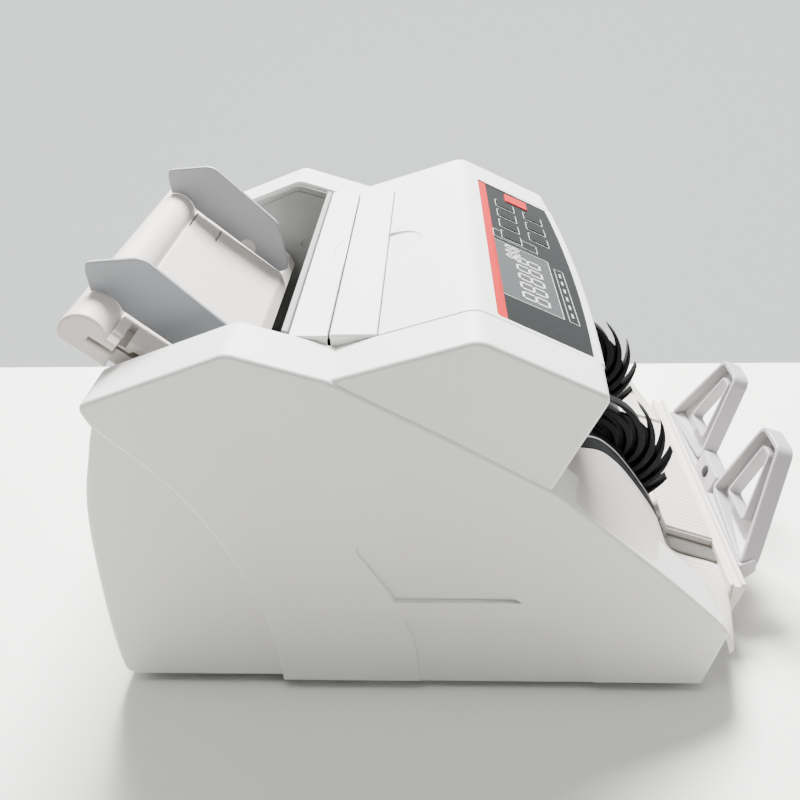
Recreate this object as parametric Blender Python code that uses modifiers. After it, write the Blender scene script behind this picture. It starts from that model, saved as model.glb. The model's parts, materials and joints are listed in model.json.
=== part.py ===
"""Banknote counting machine: rear hopper, friction feed, note path under the head, and front stacker.

Sizes are in millimetres and MM turns them into Blender's metres. A point of a side view is
(depth, height): depth runs forwards from the rear top corner of the side covers, and height runs
up from the bottom edge of the case. X is the machine's width, and its front faces -Y.
"""

import math

import bmesh
import bpy
from mathutils import Matrix, Vector

MM = 0.001

# Driving dimensions
HALF_WIDTH = 122.5
SIDE_INNER = 94.0
WALL = 2.5
GAP = 0.3
FOOT_HEIGHT = 5.0
MID_DEPTH = 152.995
ROUND_STEPS = 24

# Frame and covers
FRAME_OUTER = 93.0
FRAME_THICK = 1.5
CENTRE_HALF = SIDE_INNER - GAP
INSIDE_HALF = FRAME_OUTER - FRAME_THICK - GAP
REAR_HALF = 119.5
SHOULDER_INNER = 67.0

# Head: the ridge is where the flat top turns down into the control slope
RIDGE = (157.3, 181.3)
LIP = (208.5, 156.8)
LIP_BULGE = 6.0
PANEL_HALF = 91.0

# Hopper tray: (along the slope, off the slope) from the roll's front edge
TRAY_ORIGIN = (8.0, 171.5)
TRAY_SLOPE = math.atan2(134.2 - 171.5, 52.0 - 8.0)
TRAY_HALF = 89.5
ROLL_HALF = 96.0
ROLL_CENTRE = (-8.3, -6.4)
ROLL_RADIUS = 10.0
TRAY_BEND = 57.7

# Shafts, each (depth, height)
PICKUP_AXIS = (68.0, 104.0)
FEED_AXIS = (96.0, 100.0)
RETARD_AXIS = (96.6, 126.2)
TRANSPORT_AXIS = (160.0, 98.0)
PINCH_AXIS = (160.0, 122.4)
IMPELLER_AXIS = (222.0, 74.0)
MOTOR_AXIS = (150.0, 46.0)
SHAFT_RADIUS = 3.0
PICKUP_RADIUS = 14.0
FEED_RADIUS = 13.8
RETARD_RADIUS = 12.0
TRANSPORT_RADIUS = 12.0
STACKER_DRIVE_RADIUS = 4.5
STACKER_PULLEY_RADIUS = 9.0
MOTOR_PULLEY_RADIUS = 12.0
FEED_PULLEY_RADIUS = 12.0
PICKUP_PULLEY_RADIUS = 9.0
PICKUP_BELT_X = (-84.0, -79.0)

# Stacker
IMPELLER_RADIUS = 38.0
IMPELLER_X = 44.0
IMPELLER_WIDTH = 8.0
FINGERS = 14
PADDLE_HUB = 14.0
PADDLE_SWEEP = 88.0
GUARD_CURVE = (
    (200.5, 97.6),
    (212.4, 96.9),
    (219.4, 94.8),
    (226.9, 88.4),
    (232.9, 81.2),
    (239.5, 72.0),
    (245.5, 63.0),
    (250.0, 55.0),
    (252.1, 48.3),
)
STOP_BASE = (292.3, 28.0)
STOP_LEAN = math.atan2(18.0, 54.0)

# Colours: base colour, roughness, metallic
FINISHES = {
    "shell_white": ((0.80, 0.79, 0.76), 0.45, 0.0),
    "guide_grey": ((0.24, 0.27, 0.31), 0.40, 0.0),
    "liner_grey": ((0.16, 0.16, 0.165), 0.50, 0.1),
    "stop_grey": ((0.62, 0.60, 0.60), 0.30, 0.0),
    "black_plastic": ((0.012, 0.012, 0.013), 0.42, 0.0),
    "panel_film": ((0.045, 0.05, 0.052), 0.25, 0.0),
    "red_key": ((0.80, 0.06, 0.07), 0.35, 0.0),
    "key_film": ((0.05, 0.055, 0.057), 0.30, 0.0),
    "display_glass": ((0.20, 0.22, 0.22), 0.12, 0.0),
    "rubber": ((0.02, 0.02, 0.02), 0.80, 0.0),
    "roller_rubber": ((0.30, 0.12, 0.08), 0.75, 0.0),
    "steel": ((0.62, 0.62, 0.63), 0.28, 1.0),
    "pulley_white": ((0.75, 0.75, 0.72), 0.45, 0.0),
    "board_green": ((0.03, 0.18, 0.07), 0.40, 0.0),
}


def clear_scene():
    for obj in list(bpy.data.objects):
        bpy.data.objects.remove(obj, do_unlink=True)


def collection(name, hidden=False):
    made = bpy.data.collections.new(name)
    bpy.context.scene.collection.children.link(made)
    made.hide_render = hidden
    return made


def material(name):
    if name in bpy.data.materials:
        return bpy.data.materials[name]
    colour, roughness, metallic = FINISHES[name]
    made = bpy.data.materials.new(name)
    made.use_nodes = True
    shader = made.node_tree.nodes["Principled BSDF"]
    shader.inputs["Base Color"].default_value = (*colour, 1.0)
    shader.inputs["Roughness"].default_value = roughness
    shader.inputs["Metallic"].default_value = metallic
    return made


# Points and outlines


def world(x, depth, height):
    return Vector((x, MID_DEPTH - depth, height + FOOT_HEIGHT)) * MM


def side_frame(x):
    """Local X runs forwards, local Y up and local Z to -X, from the rear bottom of the case."""
    turn = Matrix(((0, 0, -1), (-1, 0, 0), (0, 1, 0))).to_4x4()
    return Matrix.Translation(world(x, 0, 0)) @ turn


def leaning_frame(origin, lean):
    """Local Y climbs a plane that leans forwards from upright, and local Z leaves its front."""
    return Matrix.Translation(world(0, *origin)) @ Matrix.Rotation(math.pi / 2 + lean, 4, "X")


def panel_frame():
    """Local Y climbs the control slope to the ridge, and local Z stands off it."""
    slope = math.atan2(RIDGE[1] - LIP[1], LIP[0] - RIDGE[0])
    return Matrix.Translation(world(0, *RIDGE)) @ Matrix.Rotation(slope, 4, "X")


def tray_point(along, off):
    cos, sin = math.cos(TRAY_SLOPE), math.sin(TRAY_SLOPE)
    depth = TRAY_ORIGIN[0] + along * cos - off * sin
    height = TRAY_ORIGIN[1] + along * sin + off * cos
    return depth, height


def arc(centre, radius, start, end, steps):
    """Points from one angle to another, in degrees."""
    angles = [math.radians(start + (end - start) * i / steps) for i in range(steps + 1)]
    return [(centre[0] + radius * math.cos(a), centre[1] + radius * math.sin(a)) for a in angles]


def circle(centre, radius, steps=ROUND_STEPS):
    return arc(centre, radius, 0, 360 - 360 / steps, steps - 1)


def smooth(points, steps=3):
    """A Catmull-Rom curve through the points."""
    ends = [points[0], *points, points[-1]]
    made = []
    for before, a, b, after in zip(ends, ends[1:], ends[2:], ends[3:]):
        for i in range(steps):
            t = i / steps
            weights = (
                -t * (1 - t) ** 2 / 2,
                (1 - t) * (1 + t - 1.5 * t * t),
                t * (0.5 + 2 * t - 1.5 * t * t),
                -t * t * (1 - t) / 2,
            )
            corners = (before, a, b, after)
            made.append(tuple(sum(w * p[k] for w, p in zip(weights, corners)) for k in (0, 1)))
    return [*made, tuple(points[-1])]


def fillet(corners, steps=3):
    """A closed outline whose (depth, height, radius) corners are rounded."""
    made = []
    for i, (x, y, radius) in enumerate(corners):
        corner = Vector((x, y))
        to_last = Vector(corners[i - 1][:2]) - corner
        to_next = Vector(corners[(i + 1) % len(corners)][:2]) - corner
        if radius == 0:
            made.append((x, y))
            continue
        half = to_last.angle(to_next) / 2
        reach = min(radius / math.tan(half), to_last.length * 0.49, to_next.length * 0.49)
        start = corner + to_last.normalized() * reach
        end = corner + to_next.normalized() * reach
        for k in range(steps + 1):
            t = k / steps
            made.append(tuple((1 - t) ** 2 * start + 2 * t * (1 - t) * corner + t * t * end))
    return made


# Solids


def add(name, mesh, finish, frame=None):
    made = bpy.data.objects.new(name, mesh)
    if frame is not None:
        made.matrix_world = frame
    mesh.materials.clear()
    mesh.materials.append(material(finish))
    mesh.shade_smooth()
    mesh.set_sharp_from_angle(angle=math.radians(35))
    parts.objects.link(made)
    return made


def flat_outline(name, outlines, thickness, frame, finish):
    """A filled outline, with any further outlines as holes, centred on its frame's XY plane."""
    curve = bpy.data.curves.new(name + "_outline", "CURVE")
    curve.dimensions = "2D"
    curve.fill_mode = "BOTH"
    curve.extrude = thickness / 2 * MM
    for points in outlines:
        spline = curve.splines.new("POLY")
        spline.points.add(len(points) - 1)
        for point, (x, y) in zip(spline.points, points):
            point.co = (x * MM, y * MM, 0, 1)
        spline.use_cyclic_u = True
    guide = bpy.data.objects.new(name + "_outline", curve)
    parts.objects.link(guide)
    graph = bpy.context.evaluated_depsgraph_get()
    mesh = bpy.data.meshes.new_from_object(guide.evaluated_get(graph))
    mesh.name = name
    bpy.data.objects.remove(guide, do_unlink=True)
    shape = bmesh.new()
    shape.from_mesh(mesh)
    bmesh.ops.remove_doubles(shape, verts=shape.verts, dist=0.000005)
    bmesh.ops.recalc_face_normals(shape, faces=shape.faces)
    shape.to_mesh(mesh)
    shape.free()
    return add(name, mesh, finish, frame)


def slab(name, outlines, x0, x1, finish="shell_white"):
    """A side-view outline carried from one X to another."""
    frame = side_frame((x0 + x1) / 2)
    return flat_outline(name, outlines, abs(x1 - x0), frame, finish)


def box(name, xs, depths, heights, finish="shell_white"):
    mesh = bpy.data.meshes.new(name)
    size = Vector((xs[1] - xs[0], depths[1] - depths[0], heights[1] - heights[0])) * MM
    shape = bmesh.new()
    bmesh.ops.create_cube(shape, size=1, matrix=Matrix.Diagonal((*size, 1)))
    shape.to_mesh(mesh)
    shape.free()
    made = add(name, mesh, finish)
    made.location = world(sum(xs) / 2, sum(depths) / 2, sum(heights) / 2)
    return made


def turned(name, profile, axis, finish, steps=ROUND_STEPS):
    """A (radius, x) profile turned about the X line through axis; its outer side runs to -X."""
    mesh = bpy.data.meshes.new(name)
    closed = profile[0][0] > 0
    points = [(radius * MM, 0, x * MM) for radius, x in profile]
    edges = [(i, i + 1) for i in range(len(points) - 1)]
    if closed:
        edges.append((len(points) - 1, 0))
    mesh.from_pydata(points, edges, [])
    made = add(name, mesh, finish)
    made.matrix_world = Matrix.Translation(world(0, *axis)) @ Matrix.Rotation(math.pi / 2, 4, "Y")
    screw = made.modifiers.new("turn", "SCREW")
    screw.axis = "Z"
    screw.angle = 2 * math.pi
    screw.steps = steps
    screw.render_steps = steps
    screw.use_merge_vertices = True
    screw.merge_threshold = 0.00001
    screw.use_smooth_shade = True
    return made


def rod(name, axis, radius, x0, x1, finish="steel"):
    return turned(name, [(0, x1), (radius, x1), (radius, x0), (0, x0)], axis, finish, 16)


def ring(name, axis, radius, bore, x0, x1, finish):
    return turned(name, [(radius, x1), (radius, x0), (bore, x0), (bore, x1)], axis, finish)


def loft(name, sections, finish="shell_white"):
    """A closed skin through sections, each (x, outline) with as many points as the next."""
    mesh = bpy.data.meshes.new(name)
    shape = bmesh.new()
    rows = [[shape.verts.new(world(x, *p)) for p in outline] for x, outline in sections]
    for row, following in zip(rows, rows[1:]):
        for i in range(len(row)):
            j = (i + 1) % len(row)
            shape.faces.new((row[i], row[j], following[j], following[i]))
    shape.faces.new(rows[0])
    shape.faces.new(rows[-1])
    bmesh.ops.recalc_face_normals(shape, faces=shape.faces)
    shape.to_mesh(mesh)
    shape.free()
    return add(name, mesh, finish)


def combine(target, operation, others):
    for other in others:
        parts.objects.unlink(other)
        cutters.objects.link(other)
        other.hide_render = True
        other.display_type = "WIRE"
        modifier = target.modifiers.new(other.name, "BOOLEAN")
        modifier.operation = operation
        modifier.object = other
    return target


def cut(target, *others):
    return combine(target, "DIFFERENCE", others)


def join(target, *others):
    return combine(target, "UNION", others)


def hang(name, x, axis, *children):
    """An empty on a joint's axis that carries the pieces turning on it."""
    pivot = bpy.data.objects.new(name, None)
    pivot.location = world(x, *axis)
    parts.objects.link(pivot)
    for child in children:
        child.parent = pivot
        child.matrix_parent_inverse = Matrix.Translation(pivot.location).inverted()
    return pivot


# Casing

REAR_STEP_CURVE = ((67.8, 0.0), (66.1, 22.0), (59.7, 54.9), (46.0, 89.5), (28.8, 117.8), (4.3, 144.8))
REAR_CURVE = ((-4.5, 0.0), (-10.2, 7.5), (-11.1, 50.0), (-8.1, 99.5), (-0.7, 131.1), (3.2, 143.6))
HEAD_STEP = ((100.8, 165.3), (146.6, 138.8), (191.4, 111.4))
SHOULDER_EDGE = ((191.4, 111.4), (218.4, 87.3), (242.5, 65.2), (264.5, 43.4), (272.9, 32.9))
SHOULDER_HUMP = ((200.5, 97.2), (222.0, 92.4), (239.2, 72.2), (252.0, 48.3), (283.4, 28.2))


def side_outline():
    top = fillet(
        [
            (4.3, 144.8, 0),
            (0.0, 154.8, 5),
            (62.1, 177.6, 8),
            (100.8, 165.3, 4),
            (157.3, 182.0, 12),
            (208.7, 157.0, 3),
            (190.2, 116.5, 7),
            (218.4, 87.3, 0),
            (272.9, 32.9, 0),
            (265.5, 0.0, 0),
        ]
    )
    return top[:-3] + [*smooth(SHOULDER_EDGE[1:])] + [top[-1]] + smooth(REAR_STEP_CURVE)[:-1]


def side_hollow():
    """The inside of a side cover: a wall thick below its top edge, and past its open edges."""
    return fillet(
        [
            (-20.0, 140.0, 0),
            (2.5, 140.0, 0),
            (2.9, 152.8, 3),
            (62.0, 174.8, 6),
            (100.8, 162.6, 4),
            (157.3, 179.0, 10),
            (205.1, 155.7, 2),
            (187.4, 117.0, 5),
            (190.5, 113.2, 0),
            (300.0, 40.0, 0),
            (300.0, -20.0, 0),
            (-20.0, -20.0, 0),
        ]
    )


def shoulder(name, side):
    """The ridged shoulder beside the stacker: its side edge lofts inwards to a higher hump."""
    tuck = 0.2
    edge = [(d - tuck, h - tuck) for d, h in smooth(SHOULDER_EDGE)] + [(265.5 - tuck, tuck)]
    hump = smooth(SHOULDER_HUMP) + [(276.5, tuck)]
    columns = 6
    mesh = bpy.data.meshes.new(name)
    shape = bmesh.new()
    rows = []
    for k in range(columns + 1):
        t = k / columns
        x = side * (121.0 + (SHOULDER_INNER - 121.0) * t)
        blend = math.sin(t * math.pi / 2)
        line = [tuple(a[k] + (b[k] - a[k]) * blend for k in (0, 1)) for a, b in zip(edge, hump)]
        rows.append([shape.verts.new(world(x, *p)) for p in line])
    drop = [world(side * SHOULDER_INNER, p[0] - 1.5, p[1] - 12.0) for p in hump[:-1]]
    rows.append([*(shape.verts.new(p) for p in drop), None])
    for row, following in zip(rows, rows[1:]):
        for i in range(len(row) - 1):
            corners = (row[i], row[i + 1], following[i + 1], following[i])
            if None not in corners:
                shape.faces.new(corners)
    bmesh.ops.recalc_face_normals(shape, faces=shape.faces)
    middle = shape.faces[len(shape.faces) // 2]
    if middle.normal.z < 0:
        bmesh.ops.reverse_faces(shape, faces=shape.faces)
    shape.to_mesh(mesh)
    shape.free()
    made = add(name, mesh, "shell_white")
    solidify = made.modifiers.new("wall", "SOLIDIFY")
    solidify.thickness = WALL * MM
    solidify.offset = -1
    solidify.use_even_offset = True
    return made


def side_cover(name, side):
    cover = slab(name, [side_outline()], side * SIDE_INNER, side * HALF_WIDTH)
    hollow = slab(name + "_hollow", [side_hollow()], side * 90, side * (HALF_WIDTH - WALL))
    head = [*HEAD_STEP, (240, 111), (240, 220), (101, 220)]
    head_step = slab(name + "_head_step", [head], side * 121.4, side * 130)
    fin_top = smooth(((106.6, 82.7), (111.0, 86.6), (132.6, 81.4), (154.6, 70.7), (179.1, 51.4)))
    fin = [*fin_top, (122.3, 51.8), (115.7, 65.3)]
    fin_recess = slab(name + "_fin", [fin], side * 121.2, side * 130)
    low_front = smooth(((189.3, 40.7), (201.9, 25.2), (213.7, 3.2), (216.0, -1.0)))
    low_rear = smooth(((133.0, -1.0), (131.7, 19.4), (126.3, 41.0)))
    low_recess = slab(name + "_low", [low_front + low_rear], side * 121.7, side * 130)
    cut(cover, hollow)
    join(cover, shoulder(name + "_shoulder", side))
    cut(cover, head_step, fin_recess, low_recess)
    return cover


def rear_cover():
    back = smooth(REAR_CURVE, 2)
    inner_curve = [(d + 5.5, h) for d, h in smooth(REAR_STEP_CURVE, 2)]
    outline = [(d, h) for d, h in reversed(inner_curve)] + back
    cover = slab("rear_cover", [outline], -REAR_HALF, REAR_HALF)
    inside = [(d + WALL, h) for d, h in back]
    inside = [(inside[0][0], -20), *inside, (inside[-1][0], 170), (120, 170), (120, -20)]
    hollow = slab("rear_cover_hollow", [inside], WALL - REAR_HALF, REAR_HALF - WALL)
    inlet = box("inlet_hole", (-84, -56), (-30, 10), (20, 41))
    switch = box("switch_hole", (-49, -35), (-30, 10), (20, 41))
    cut(cover, hollow, inlet, switch)


def base_pan():
    pan = box("base_pan", (-116.5, 116.5), (0, 262), (0, 14), "liner_grey")
    cut(pan, box("base_pan_hollow", (-114.5, 114.5), (2, 260), (2, 30)))
    for number, (side, depth) in enumerate([(-1, 22), (1, 22), (-1, 242), (1, 242)], 1):
        mesh = bpy.data.meshes.new("foot")
        shape = bmesh.new()
        height = FOOT_HEIGHT - GAP
        bmesh.ops.create_cone(
            shape, cap_ends=True, segments=20, radius1=8 * MM, radius2=9.5 * MM, depth=height * MM
        )
        shape.to_mesh(mesh)
        shape.free()
        add(f"foot_{number}", mesh, "rubber").location = world(
            side * 98, depth, height / 2 - FOOT_HEIGHT
        )


def frame_plates():
    outline = fillet(
        [
            (8.0, 16.0, 0),
            (8.0, 150.5, 3),
            (60.5, 172.0, 5),
            (97.0, 160.5, 4),
            (150.0, 150.0, 6),
            (184.0, 104.0, 4),
            (222.0, 82.5, 5),
            (232.0, 71.0, 5),
            (240.0, 16.0, 0),
        ]
    )
    axes = (PICKUP_AXIS, FEED_AXIS, RETARD_AXIS, TRANSPORT_AXIS, PINCH_AXIS, IMPELLER_AXIS)
    holes = [circle(axis, SHAFT_RADIUS + 0.4, 16) for axis in axes]
    holes.append(circle((62.0, 139.5), 2.2, 12))
    for name, side in (("left_frame_plate", -1), ("right_frame_plate", 1)):
        inner = side * (FRAME_OUTER - FRAME_THICK)
        slab(name, [outline, *holes], inner, side * FRAME_OUTER, "liner_grey")


# Hopper


def hopper_tray():
    """The slope with the roll behind it; the roll and its base reach further out than the slope does."""
    roll = arc(ROLL_CENTRE, ROLL_RADIUS, 225, 40, 10)
    section = [
        *roll,
        (0.3, -1.0),
        (0.9, 0.0),
        (TRAY_BEND, 0.0),
        (TRAY_BEND + 7.0, -3.3),
        (TRAY_BEND + 4.6, -5.3),
        (TRAY_BEND - 1.4, -3.0),
        (12.0, -3.0),
        (11.0, -4.9),
        (-6.0, -4.9),
        (-6.0, -6.4),
        (22.0, -6.4),
        (22.0, -13.4),
    ]
    tray = slab("hopper_tray", [[tray_point(*p) for p in section]], -TRAY_HALF, TRAY_HALF)
    base = [(0.3, -1.1), (4.9, -1.1), (4.9, -4.85), (-6.1, -4.85), (-6.1, -6.45), (5.8, -6.45), (5.8, -13.45)]
    wide_roll = arc(ROLL_CENTRE, ROLL_RADIUS + 0.05, 225, 40, 10)
    end = [tray_point(*p) for p in (*wide_roll, *base)]
    for side in (-1, 1):
        join(tray, slab(f"roll_end_{side}", [end], side * (TRAY_HALF - 1.0), side * ROLL_HALF))


def note_guide(name, side, inner):
    """An upright plate that hugs the roll and slides along it, with a flat foot on the slope."""
    clear = 0.5
    hug = [tray_point(*p) for p in arc(ROLL_CENTRE, ROLL_RADIUS + clear, 42, 137, 6)]
    front = tray_point(56.5, clear)
    corners = [
        (*front, 0),
        (*tray_point(TRAY_BEND + 1.5, 5.0), 1.5),
        (56.8, 143.5, 3),
        (53.5, 164.9, 3),
        (21.0, 197.2, 6),
        (-3.4, 195.6, 3.5),
    ]
    rim = fillet(corners)
    rim.pop(-1)
    outline = [*rim, (-4.2, 191.0), *reversed(hug)]
    outer = inner + side * 2.5
    guide = slab(name, [outline], inner, outer, "guide_grey")
    foot = [tray_point(*p) for p in ((2.5, clear), (2.5, 1.6), (18.5, 1.6), (18.5, clear))]
    lug = slab(name + "_foot", [foot], inner + side * 1.0, inner - side * 14.0, "guide_grey")
    join(guide, lug)


def hopper_front_wall():
    outline = [(78.4, 172.0), (81.0, 171.2), (81.0, 150.0), (78.5, 126.0), (76.0, 126.2), (78.4, 150.0)]
    slab("hopper_front_wall", [outline], -INSIDE_HALF, INSIDE_HALF, "liner_grey")


# Covers over the note path

FLAP_AXIS = (99.8, 169.4)
FLAP_REAR_RADIUS = 1.6


def rear_bridge_cover():
    outline = [(81.4, 170.4), (97.4, 170.4), (97.4, 168.0), (81.4, 168.0)]
    bridge = slab("rear_bridge_cover", [outline], -CENTRE_HALF, CENTRE_HALF)
    lip = [(81.6, 169.0), (83.6, 169.0), (83.6, 156.0), (81.6, 156.0)]
    join(bridge, slab("bridge_lip", [lip], -INSIDE_HALF, INSIDE_HALF))
    ear = [(96.8, 168.2), (96.8, 170.3), *arc(FLAP_AXIS, 1.5, 80, -80, 5)]
    hole = circle(FLAP_AXIS, 0.75 + GAP, 10)
    for side in (-1, 1):
        join(bridge, slab(f"bridge_ear_{side}", [ear, hole], side * 86.2, side * 89.4))
    rod("flap_hinge_pin", FLAP_AXIS, 0.75, -89.2, 89.2)


def service_flap():
    """The lid's rear edge is a barrel round its pin, cut short at each end for the bridge's ears."""
    lid = [(102.3, 168.5), (117.6, 168.5), (117.6, 171.0), (102.3, 171.0)]
    flap = slab("service_flap", [lid], -CENTRE_HALF, CENTRE_HALF)
    barrel = [*arc(FLAP_AXIS, FLAP_REAR_RADIUS, 90, 270, 8), (101.5, 168.6), (104.0, 168.6), (104.0, 170.9)]
    hole = circle(FLAP_AXIS, 0.9, 12)
    join(flap, slab("flap_barrel", [barrel, hole], -85.8, 85.8))
    tab = [(98.2, 168.6), (104.0, 168.6), (104.0, 170.9), (98.2, 170.9)]
    for side in (-1, 1):
        join(flap, slab(f"flap_tab_{side}", [tab], side * 89.9, side * (CENTRE_HALF - 0.1)))
    hang("service_flap_hinge", 0, FLAP_AXIS, flap)


def lip_reach(x):
    """How far the lip stands forwards of the side covers' own, in plan."""
    return LIP_BULGE * (1 - (x / HALF_WIDTH) ** 2)


def head_cover():
    sections = []
    for k in range(9):
        x = CENTRE_HALF * (k / 4 - 1)
        reach = lip_reach(x)
        slope_reach = reach * (LIP[1] - RIDGE[1]) / (LIP[0] - RIDGE[0])
        sections.append(
            (
                x,
                [
                    (118.0, 170.9),
                    (152.0, 179.9),
                    (157.3, 180.9),
                    (162.5, 178.8),
                    (LIP[0] + reach, LIP[1] + slope_reach),
                    (199.5 + reach, 137.0 + slope_reach),
                    (196.8 + reach, 137.6 + slope_reach),
                    (204.7 + reach, 155.6 + slope_reach),
                    (162.0, 176.0),
                    (157.3, 178.0),
                    (152.0, 177.2),
                    (118.0, 168.2),
                ],
            )
        )
    cover = loft("head_cover", sections)
    recess = flat_outline("panel_recess", [panel_outline(0.4)], 10, recess_frame(5 - 0.9), "shell_white")
    cut(cover, recess)
    for number, (x, down, half_x, half_y) in enumerate(key_places()):
        well = rectangle(x, -down, half_x + 0.5, half_y + 0.5)
        cut(cover, flat_outline(f"key_well_{number}", [well], 12, panel_frame(), "shell_white"))
    window = rectangle(*DISPLAY_CENTRE, *DISPLAY_HALF)
    cut(cover, flat_outline("display_window", [window], 12, panel_frame(), "shell_white"))
    dish = circle((0, -40.6), 19.5, 32)
    tilt = math.atan2(RIDGE[1] - 170.9, RIDGE[0] - 118.0)
    top = Matrix.Translation(world(0, *RIDGE)) @ Matrix.Rotation(-tilt, 4, "X")
    top = top @ Matrix.Rotation(math.pi, 4, "X") @ Matrix.Translation((0, 0, 0.2 * MM))
    cut(cover, flat_outline("finger_dish", [dish], 1.8, top, "shell_white"))


# Control slope: places are (x, distance down the slope from the ridge)

PANEL_TOP = 9.5
PANEL_FRONT = 54.0
PANEL_BULGE = 4.0
DISPLAY_CENTRE = (-31.0, -29.0)
DISPLAY_HALF = (31.0, 13.5)
KEY_ROWS = ((25.2, (64.0, 47.5, 31.0, 14.5)), (42.6, (63.0, 46.5, 30.0)))
START_KEY = (80.6, 33.5, 6.6, 7.0)


def rectangle(x, y, half_x, half_y):
    left, right = x - half_x, x + half_x
    back, front = y - half_y, y + half_y
    return [(left, back), (right, back), (right, front), (left, front)]


def panel_outline(grow=0.0):
    half = PANEL_HALF + grow
    front = [
        (half * (k / 5 - 1), -PANEL_FRONT - grow - PANEL_BULGE * (1 - (k / 5 - 1) ** 2))
        for k in range(11)
    ]
    return [*front, (half, grow - PANEL_TOP), (-half, grow - PANEL_TOP)]


def recess_frame(height):
    return panel_frame() @ Matrix.Translation((0, 0, height * MM))


def key_places():
    places = [START_KEY]
    for down, row in KEY_ROWS:
        places += [(x, down, 5.0, 5.0) for x in row]
    return places


def control_panel():
    openings = []
    for x, down, half_x, half_y in key_places():
        openings.append(rectangle(x, -down, half_x + 0.35, half_y + 0.35))
    outlines = [panel_outline(), *openings]
    flat_outline("control_panel", outlines, 0.5, recess_frame(-0.3), "panel_film")
    for number, (x, down, half_x, half_y) in enumerate(key_places()):
        name = f"key_{number}" if number else "start_key"
        finish = "key_film" if number else "red_key"
        cap = fillet([(cx, cy, 1.2) for cx, cy in rectangle(0, 0, half_x, half_y)], 2)
        place = recess_frame(-1.3) @ Matrix.Translation((x * MM, -down * MM, 0))
        flat_outline(name, [cap], 3.6, place, finish)
    glass = rectangle(*DISPLAY_CENTRE, DISPLAY_HALF[0] - 0.4, DISPLAY_HALF[1] - 0.4)
    flat_outline("display_glass", [glass], 2.2, recess_frame(-2.1), "display_glass")
    board = rectangle(14, -31, 76, 21)
    flat_outline("display_board", [board], 1.6, recess_frame(-5.2), "board_green")


# Note path and drive


def stepped_shaft(name, axis, pulleys, finish="steel"):
    """A shaft between the frame plates, turned in one piece with its pulleys (x0, x1, radius)."""
    reach = FRAME_OUTER - 0.2
    profile = [(0, reach), (SHAFT_RADIUS, reach)]
    for x0, x1, radius in sorted(pulleys, reverse=True):
        profile += [(SHAFT_RADIUS, x1), (radius, x1), (radius, x0), (SHAFT_RADIUS, x0)]
    profile += [(SHAFT_RADIUS, -reach), (0, -reach)]
    turned(name, profile, axis, finish)


def note_path():
    stepped_shaft("pickup_shaft", PICKUP_AXIS, [(*PICKUP_BELT_X, PICKUP_PULLEY_RADIUS)])
    feed_pulleys = [(77.0, 88.2, FEED_PULLEY_RADIUS), (*PICKUP_BELT_X, PICKUP_PULLEY_RADIUS)]
    stepped_shaft("feed_shaft", FEED_AXIS, feed_pulleys)
    stepped_shaft("retard_shaft", RETARD_AXIS, [])
    transport_pulleys = [(83.4, 88.2, FEED_PULLEY_RADIUS), (10.0, 15.0, STACKER_DRIVE_RADIUS)]
    stepped_shaft("transport_shaft", TRANSPORT_AXIS, transport_pulleys)
    pinch_rollers = [(20.0, 40.0, TRANSPORT_RADIUS), (-40.0, -20.0, TRANSPORT_RADIUS)]
    stepped_shaft("pinch_roller", PINCH_AXIS, pinch_rollers, "pulley_white")
    bore = SHAFT_RADIUS + GAP
    for word, side in (("left", -1), ("right", 1)):
        inner, outer = sorted((side * 22, side * 38))
        ring(f"{word}_pickup_roller", PICKUP_AXIS, PICKUP_RADIUS, bore, inner, outer, "roller_rubber")
        ring(f"{word}_feed_roller", FEED_AXIS, FEED_RADIUS, bore, inner, outer, "roller_rubber")
        ring(f"{word}_transport_roller", TRANSPORT_AXIS, TRANSPORT_RADIUS, bore, inner, outer, "rubber")
    ring("retard_roller", RETARD_AXIS, RETARD_RADIUS, bore, -40, 40, "rubber")
    box("sensor_board", (-80, 80), (112, 144), (124, 126), "board_green")


def belt(name, first, first_radius, second, second_radius, x0, x1):
    """A belt's open loop round two pulleys: two arcs and the tangents between them."""
    first_point, second_point = Vector(first), Vector(second)
    line = second_point - first_point
    heading = math.degrees(math.atan2(line.y, line.x))
    splay = math.degrees(math.acos((first_radius - second_radius) / line.length))

    def loop(extra):
        near = arc(first, first_radius + extra, heading + splay, heading + 360 - splay, 10)
        far = arc(second, second_radius + extra, heading - splay, heading + splay, 10)
        return near + far

    slab(name, [loop(1.8), loop(0.4)], x0, x1, "rubber")


def drive():
    motor = [(0, 74), (18, 74), (18, 18), (0, 18)]
    turned("main_motor", motor, MOTOR_AXIS, "steel")
    pulley = [(0, 82), (MOTOR_PULLEY_RADIUS, 82), (MOTOR_PULLEY_RADIUS, 76), (0, 76)]
    turned("motor_pulley", pulley, MOTOR_AXIS, "pulley_white")
    bore = SHAFT_RADIUS + GAP
    ring("stacker_pulley", IMPELLER_AXIS, STACKER_PULLEY_RADIUS, bore, 10, 15, "pulley_white")
    x0, x1 = PICKUP_BELT_X[0] + 0.4, PICKUP_BELT_X[1] - 0.4
    belt("pickup_belt", PICKUP_AXIS, PICKUP_PULLEY_RADIUS, FEED_AXIS, PICKUP_PULLEY_RADIUS, x0, x1)
    belt("feed_belt", MOTOR_AXIS, MOTOR_PULLEY_RADIUS, FEED_AXIS, FEED_PULLEY_RADIUS, 77.3, 81.3)
    belt("transport_belt", FEED_AXIS, FEED_PULLEY_RADIUS, TRANSPORT_AXIS, FEED_PULLEY_RADIUS, 83.8, 87.8)
    driver = (TRANSPORT_AXIS, STACKER_DRIVE_RADIUS)
    belt("stacker_belt", *driver, IMPELLER_AXIS, STACKER_PULLEY_RADIUS, 10.5, 14.5)


# Stacker


CLAW_THICK = 4.4
CLAW_TIP_THICK = 0.4


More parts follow.
